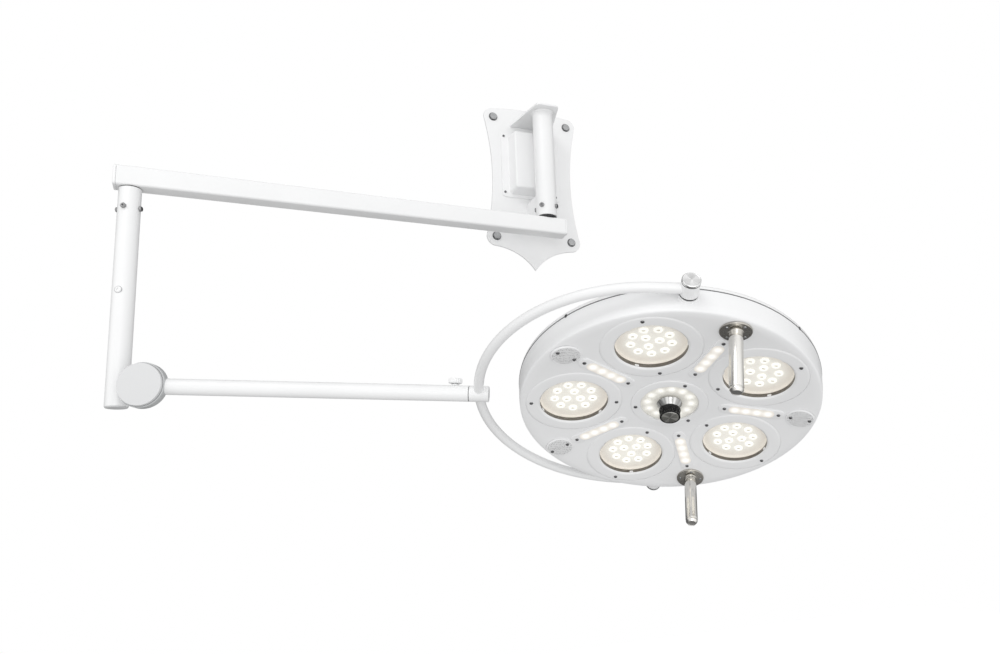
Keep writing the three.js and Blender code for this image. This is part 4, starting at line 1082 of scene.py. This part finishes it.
def make_centre():
    ring = rounded([
        (57.0, 12.2, 0.2), (58.4, 11.0, 0.5), (74.6, 11.0, 0.8), (76.0, 12.4, 0.4), (76.0, 14.0),
        (60.7, 14.0), (60.7, 21.0), (57.0, 21.0),
    ], 4)
    turned("centre_ring_skin", "head", BEZEL, "white_shell", [(ring + ring[:1], FACE)],
           segments=144, replaces=["centre_bezel"])
    hole, rim = 12.5, 56.8
    plate = [(hole + (rim - hole) * k / 26, 16.4) for k in range(27)]
    plate += [(rim, 16.4 + 1.2), (hole, 16.4 + 1.2), plate[0]]
    turned("centre_plate", "head", LIT_CENTRE, "window", [(plate, FACE)], segments=144,
           glow=halo(CENTRE_SPOTS, FACE, 8.2))
    pane = [(hole, 14.1), (56.6, 14.1), (56.6, 15.1), (hole, 15.1), (hole, 14.1)]
    turned("centre_pane", "head", GLASS, "window", [(pane, FACE)], replaces=["centre_window"])
    places = [
        FACE @ spin("Z", angle - 142.33) @ shift(67.0, 0, 11.1) @ FLIP for angle in (-48, 72, 192)
    ]
    screws("centre_screws", "head", SCREW, places, radius=3.7, height=2.0)

    cone = rounded([
        (0, -0.7), (16.6, -0.7, 0.4), (17.2, 1.0, 0.4), (19.2, 3.4, 3.0), (24.8, 12.0, 0.5),
        (25.1, 13.4, 0.4), (12, 13.6), (12, 23.6), (0, 23.6),
    ], 4)
    turned("focus_cone_skin", "head", CONE_STEEL, "bright_steel", [(cone, FACE)],
           replaces=["focus_cone"])
    grip = rounded([
        (0, -18.6), (17.6, -18.6, 0.2), (18.2, -20.0, 0.5), (19.8, -20.0, 0.6), (20.2, -18.4, 0.4),
        (20.5, -6.0, 0.4), (21.4, -4.2, 0.6), (21.4, -1.8, 0.6), (19.6, -1.0, 0.3), (0, -1.0),
    ], 3)
    grip = with_flute_rows(grip)
    fluted = {i for i, (radius, z) in enumerate(grip) if -16.0 < z < -9.0 and radius > 19}
    turned("focus_knob_skin", "focus", KNOB_BLACK, "black_plastic", [(grip, FACE)], segments=216,
           lobes=(fluted, 12, 2.2), sharp=40, replaces=["focus_knob"])
    cap = rounded([
        (0, -19.7), (0.5, -19.7), (16.9, -19.7, 0.3), (17.3, -19.2, 0.3), (17.3, -18.4), (0, -18.4),
    ], 3)
    turned("focus_knob_cap", "focus", KNOB_CAP, "spun_aluminium", [(cap, FACE)])


def with_flute_rows(profile):
    """Adds rows to the side of the knob, ahead of its lower shoulder, to carry the flutes."""
    shoulder = next(i for i, (r, z) in enumerate(profile) if r > 19 and abs(z + 6.0) < 0.45)
    rows = [(20.22, -17.4), (20.28, -15.8), (20.42, -9.2), (20.46, -7.6)]
    return profile[:shoulder] + rows + profile[shoulder:]


def make_grilles():
    places = []
    for number, place in enumerate(GRILLES, 1):
        rim = rounded([
            (25.6, -2.6), (26.0, -3.0, 0.2), (27.6, -2.4, 0.6), (28.0, -0.9, 0.4), (28.0, 0.4),
            (25.6, 0.4),
        ], 4)
        turned(f"grille_{number}_rim", "head", BEZEL, "white_shell", [(rim + rim[:1], place)],
               replaces=[f"grille_cap_{number}"])
        mesh = [(25.6 * k / 12, -3.5 + 0.9 * (k / 12) ** 2) for k in range(13)]
        mesh += [(25.6, 0.2), (0, 0.2)]
        turned(f"grille_{number}_mesh", "head", MESH, "white_shell", [(mesh, place)])
        places += [place @ shift(x, 0, -3.0) @ FLIP for x in (-18.8, 18.8)]
    screws("grille_screws", "head", SCREW, places, radius=3.5, height=1.9)


def make_handles():
    places = []
    for number, place in enumerate(HANDLES, 1):
        flange = rounded([
            (0, -12.0), (10.4, -12.0, 0.4), (13.0, -4.6, 1.0), (13.9, -3.3, 0.8), (28.2, -2.9, 0.5),
            (29.0, -2.2, 0.5), (29.0, 0.3), (0, 0.3),
        ], 4)
        stud = [(0, -109.0), (8.0, -109.0), (8.0, -11.9), (0, -11.9)]
        turned(f"handle_{number}_flange", "head", FLANGE, "bright_steel",
               [(flange, place), (stud, place)], replaces=[f"handle_{number}_mount"])
        grip = rounded([
            (0, -121.0), (7.4, -121.0, 0.3), (7.9, -121.5, 0.3), (8.9, -121.5, 0.5),
            (12.1, -117.0, 0.8), (12.1, -113.8, 0.3), (11.5, -113.4, 0.2), (11.5, -112.6, 0.2),
            (12.7, -112.0, 0.4), (12.7, -13.4, 0.6), (11.8, -12.4, 0.3), (8.3, -12.4, 0.2),
            (8.3, -110.0), (0, -110.0),
        ], 4)
        turned(f"handle_{number}_grip", f"sleeve_{number}", STEEL, "bright_steel",
               [(grip, place)], replaces=[f"handle_{number}_sleeve"])
        places += [place @ spin("Z", a) @ shift(21.8, 0, -2.9) @ FLIP for a in (15, 105, 195, 285)]
    screws("handle_flange_screws", "head", BOLT, places, radius=3.0, height=1.6)


def make_pivot_rings():
    for label, side in PIVOTS:
        ring = rounded([(8.3, 297.5), (15.4, 297.5, 0.8), (16.2, 300.9, 0.8), (8.3, 300.9)], 4)
        turned(f"{label}_pivot_ring_skin", "head", BLACK, "dark_rubber", [(ring + ring[:1], side)],
               replaces=[f"{label}_pivot_ring"])
        seat = rounded([(0, 290), (18.4, 290), (17.4, 297.4, 0.8), (0, 297.4)], 3)
        turned(f"{label}_pivot_seat", "head", SHELL, "white_paint", [(seat, side)])


# ---- floor, lights and surroundings ----
def make_stage():
    bm = bmesh.new()
    bmesh.ops.create_grid(bm, x_segments=1, y_segments=1, size=30)
    mesh = bpy.data.meshes.new("floor")
    bm.to_mesh(mesh)
    bm.free()
    floor = bpy.data.objects.new("floor", mesh)
    floor.location = (0, 0, -6)
    material, _, shader = new_material("floor")
    shader.inputs["Base Color"].default_value = (0.9, 0.9, 0.9, 1)
    shader.inputs["Roughness"].default_value = 0.9
    shader.inputs["Emission Color"].default_value = (1, 1, 1, 1)
    shader.inputs["Emission Strength"].default_value = 0.45
    floor.visible_diffuse = False
    floor.visible_glossy = False
    mesh.materials.append(material)
    bpy.context.collection.objects.link(floor)


def area_light(name, at, target, size, power):
    data = bpy.data.lights.new(name, "AREA")
    data.shape = "RECTANGLE"
    data.size, data.size_y = size
    data.energy = power
    light = bpy.data.objects.new(name, data)
    light.location = at
    light.rotation_euler = (Vector(target) - Vector(at)).to_track_quat("-Z", "Y").to_euler()
    bpy.context.collection.objects.link(light)
    light.visible_camera = False


WORLD_LOW = 0.86
WORLD_HIGH = 0.91
WORLD_FRONT = 1.01
WORLD_BACK = 0.46
MIRROR_FRONT = 1.3
MIRROR_BACK = 0.16


def white_backdrop(tree, strength=None):
    backdrop = node(tree, "ShaderNodeBackground", Color=(1, 1, 1, 1))
    if strength:
        tree.links.new(strength, backdrop.inputs["Strength"])
    return backdrop.outputs["Background"]


def make_world():
    """Soft light from all round, brighter from above and from the front of the wall.

    Polished metal mirrors a plainer room: a bright front and a dark back.
    """
    world = bpy.data.worlds.new("studio")
    world.use_nodes = True
    tree = world.node_tree
    way = tree.nodes.new("ShaderNodeTexCoord")
    split = tree.nodes.new("ShaderNodeSeparateXYZ")
    tree.links.new(way.outputs["Generated"], split.inputs["Vector"])
    height = ramp(tree, split.outputs["Z"], WORLD_LOW, WORLD_HIGH, -0.7, 0.7)
    depth = ramp(tree, split.outputs["Y"], WORLD_FRONT, WORLD_BACK, -0.35, 0.85)
    both = tree.nodes.new("ShaderNodeMath")
    both.operation = "MULTIPLY"
    tree.links.new(height, both.inputs[0])
    tree.links.new(depth, both.inputs[1])
    room = ramp(tree, split.outputs["Y"], MIRROR_FRONT, MIRROR_BACK, -0.75, 0.35)
    path = tree.nodes.new("ShaderNodeLightPath")
    soft = mixed(tree, path.outputs["Is Glossy Ray"], white_backdrop(tree, both.outputs["Value"]),
                 white_backdrop(tree, room))
    seen = mixed(tree, path.outputs["Is Camera Ray"], soft, white_backdrop(tree))
    tree.links.new(seen, tree.nodes["World Output"].inputs["Surface"])
    bpy.context.scene.world = world
    area_light("key", (-2.4, -2.6, 2.2), (-0.3, -0.3, -0.4), (2.2, 1.6), 24)
    area_light("fill", (-3.6, -0.6, -0.1), (-0.3, -0.4, -0.6), (2.0, 2.0), 8)
    area_light("front", (-1.1, -4.2, -0.9), (-0.2, -0.2, -0.4), (1.6, 2.6), 28)
    bpy.context.scene.view_settings.view_transform = "Standard"
    bpy.context.scene.view_settings.look = "None"


# ---- carried-over CAD nodes ----
def dress_cad_nodes():
    wanted = {part["node"]: part["material_slot"] for part in frame["record"]["subparts"]}
    for name, obj in frame["nodes"].items():
        obj.data.materials.clear()
        obj.data.materials.append(SLOTS[wanted[name]])


dress_cad_nodes()
make_wall_parts()
make_driver_cover()
make_arm_one()
make_drop()
make_arm_two()
make_clamp()
make_bow()
make_head_shell()
make_modules()
make_strips()
make_centre()
make_grilles()
make_handles()
make_pivot_rings()
make_stage()
make_world()
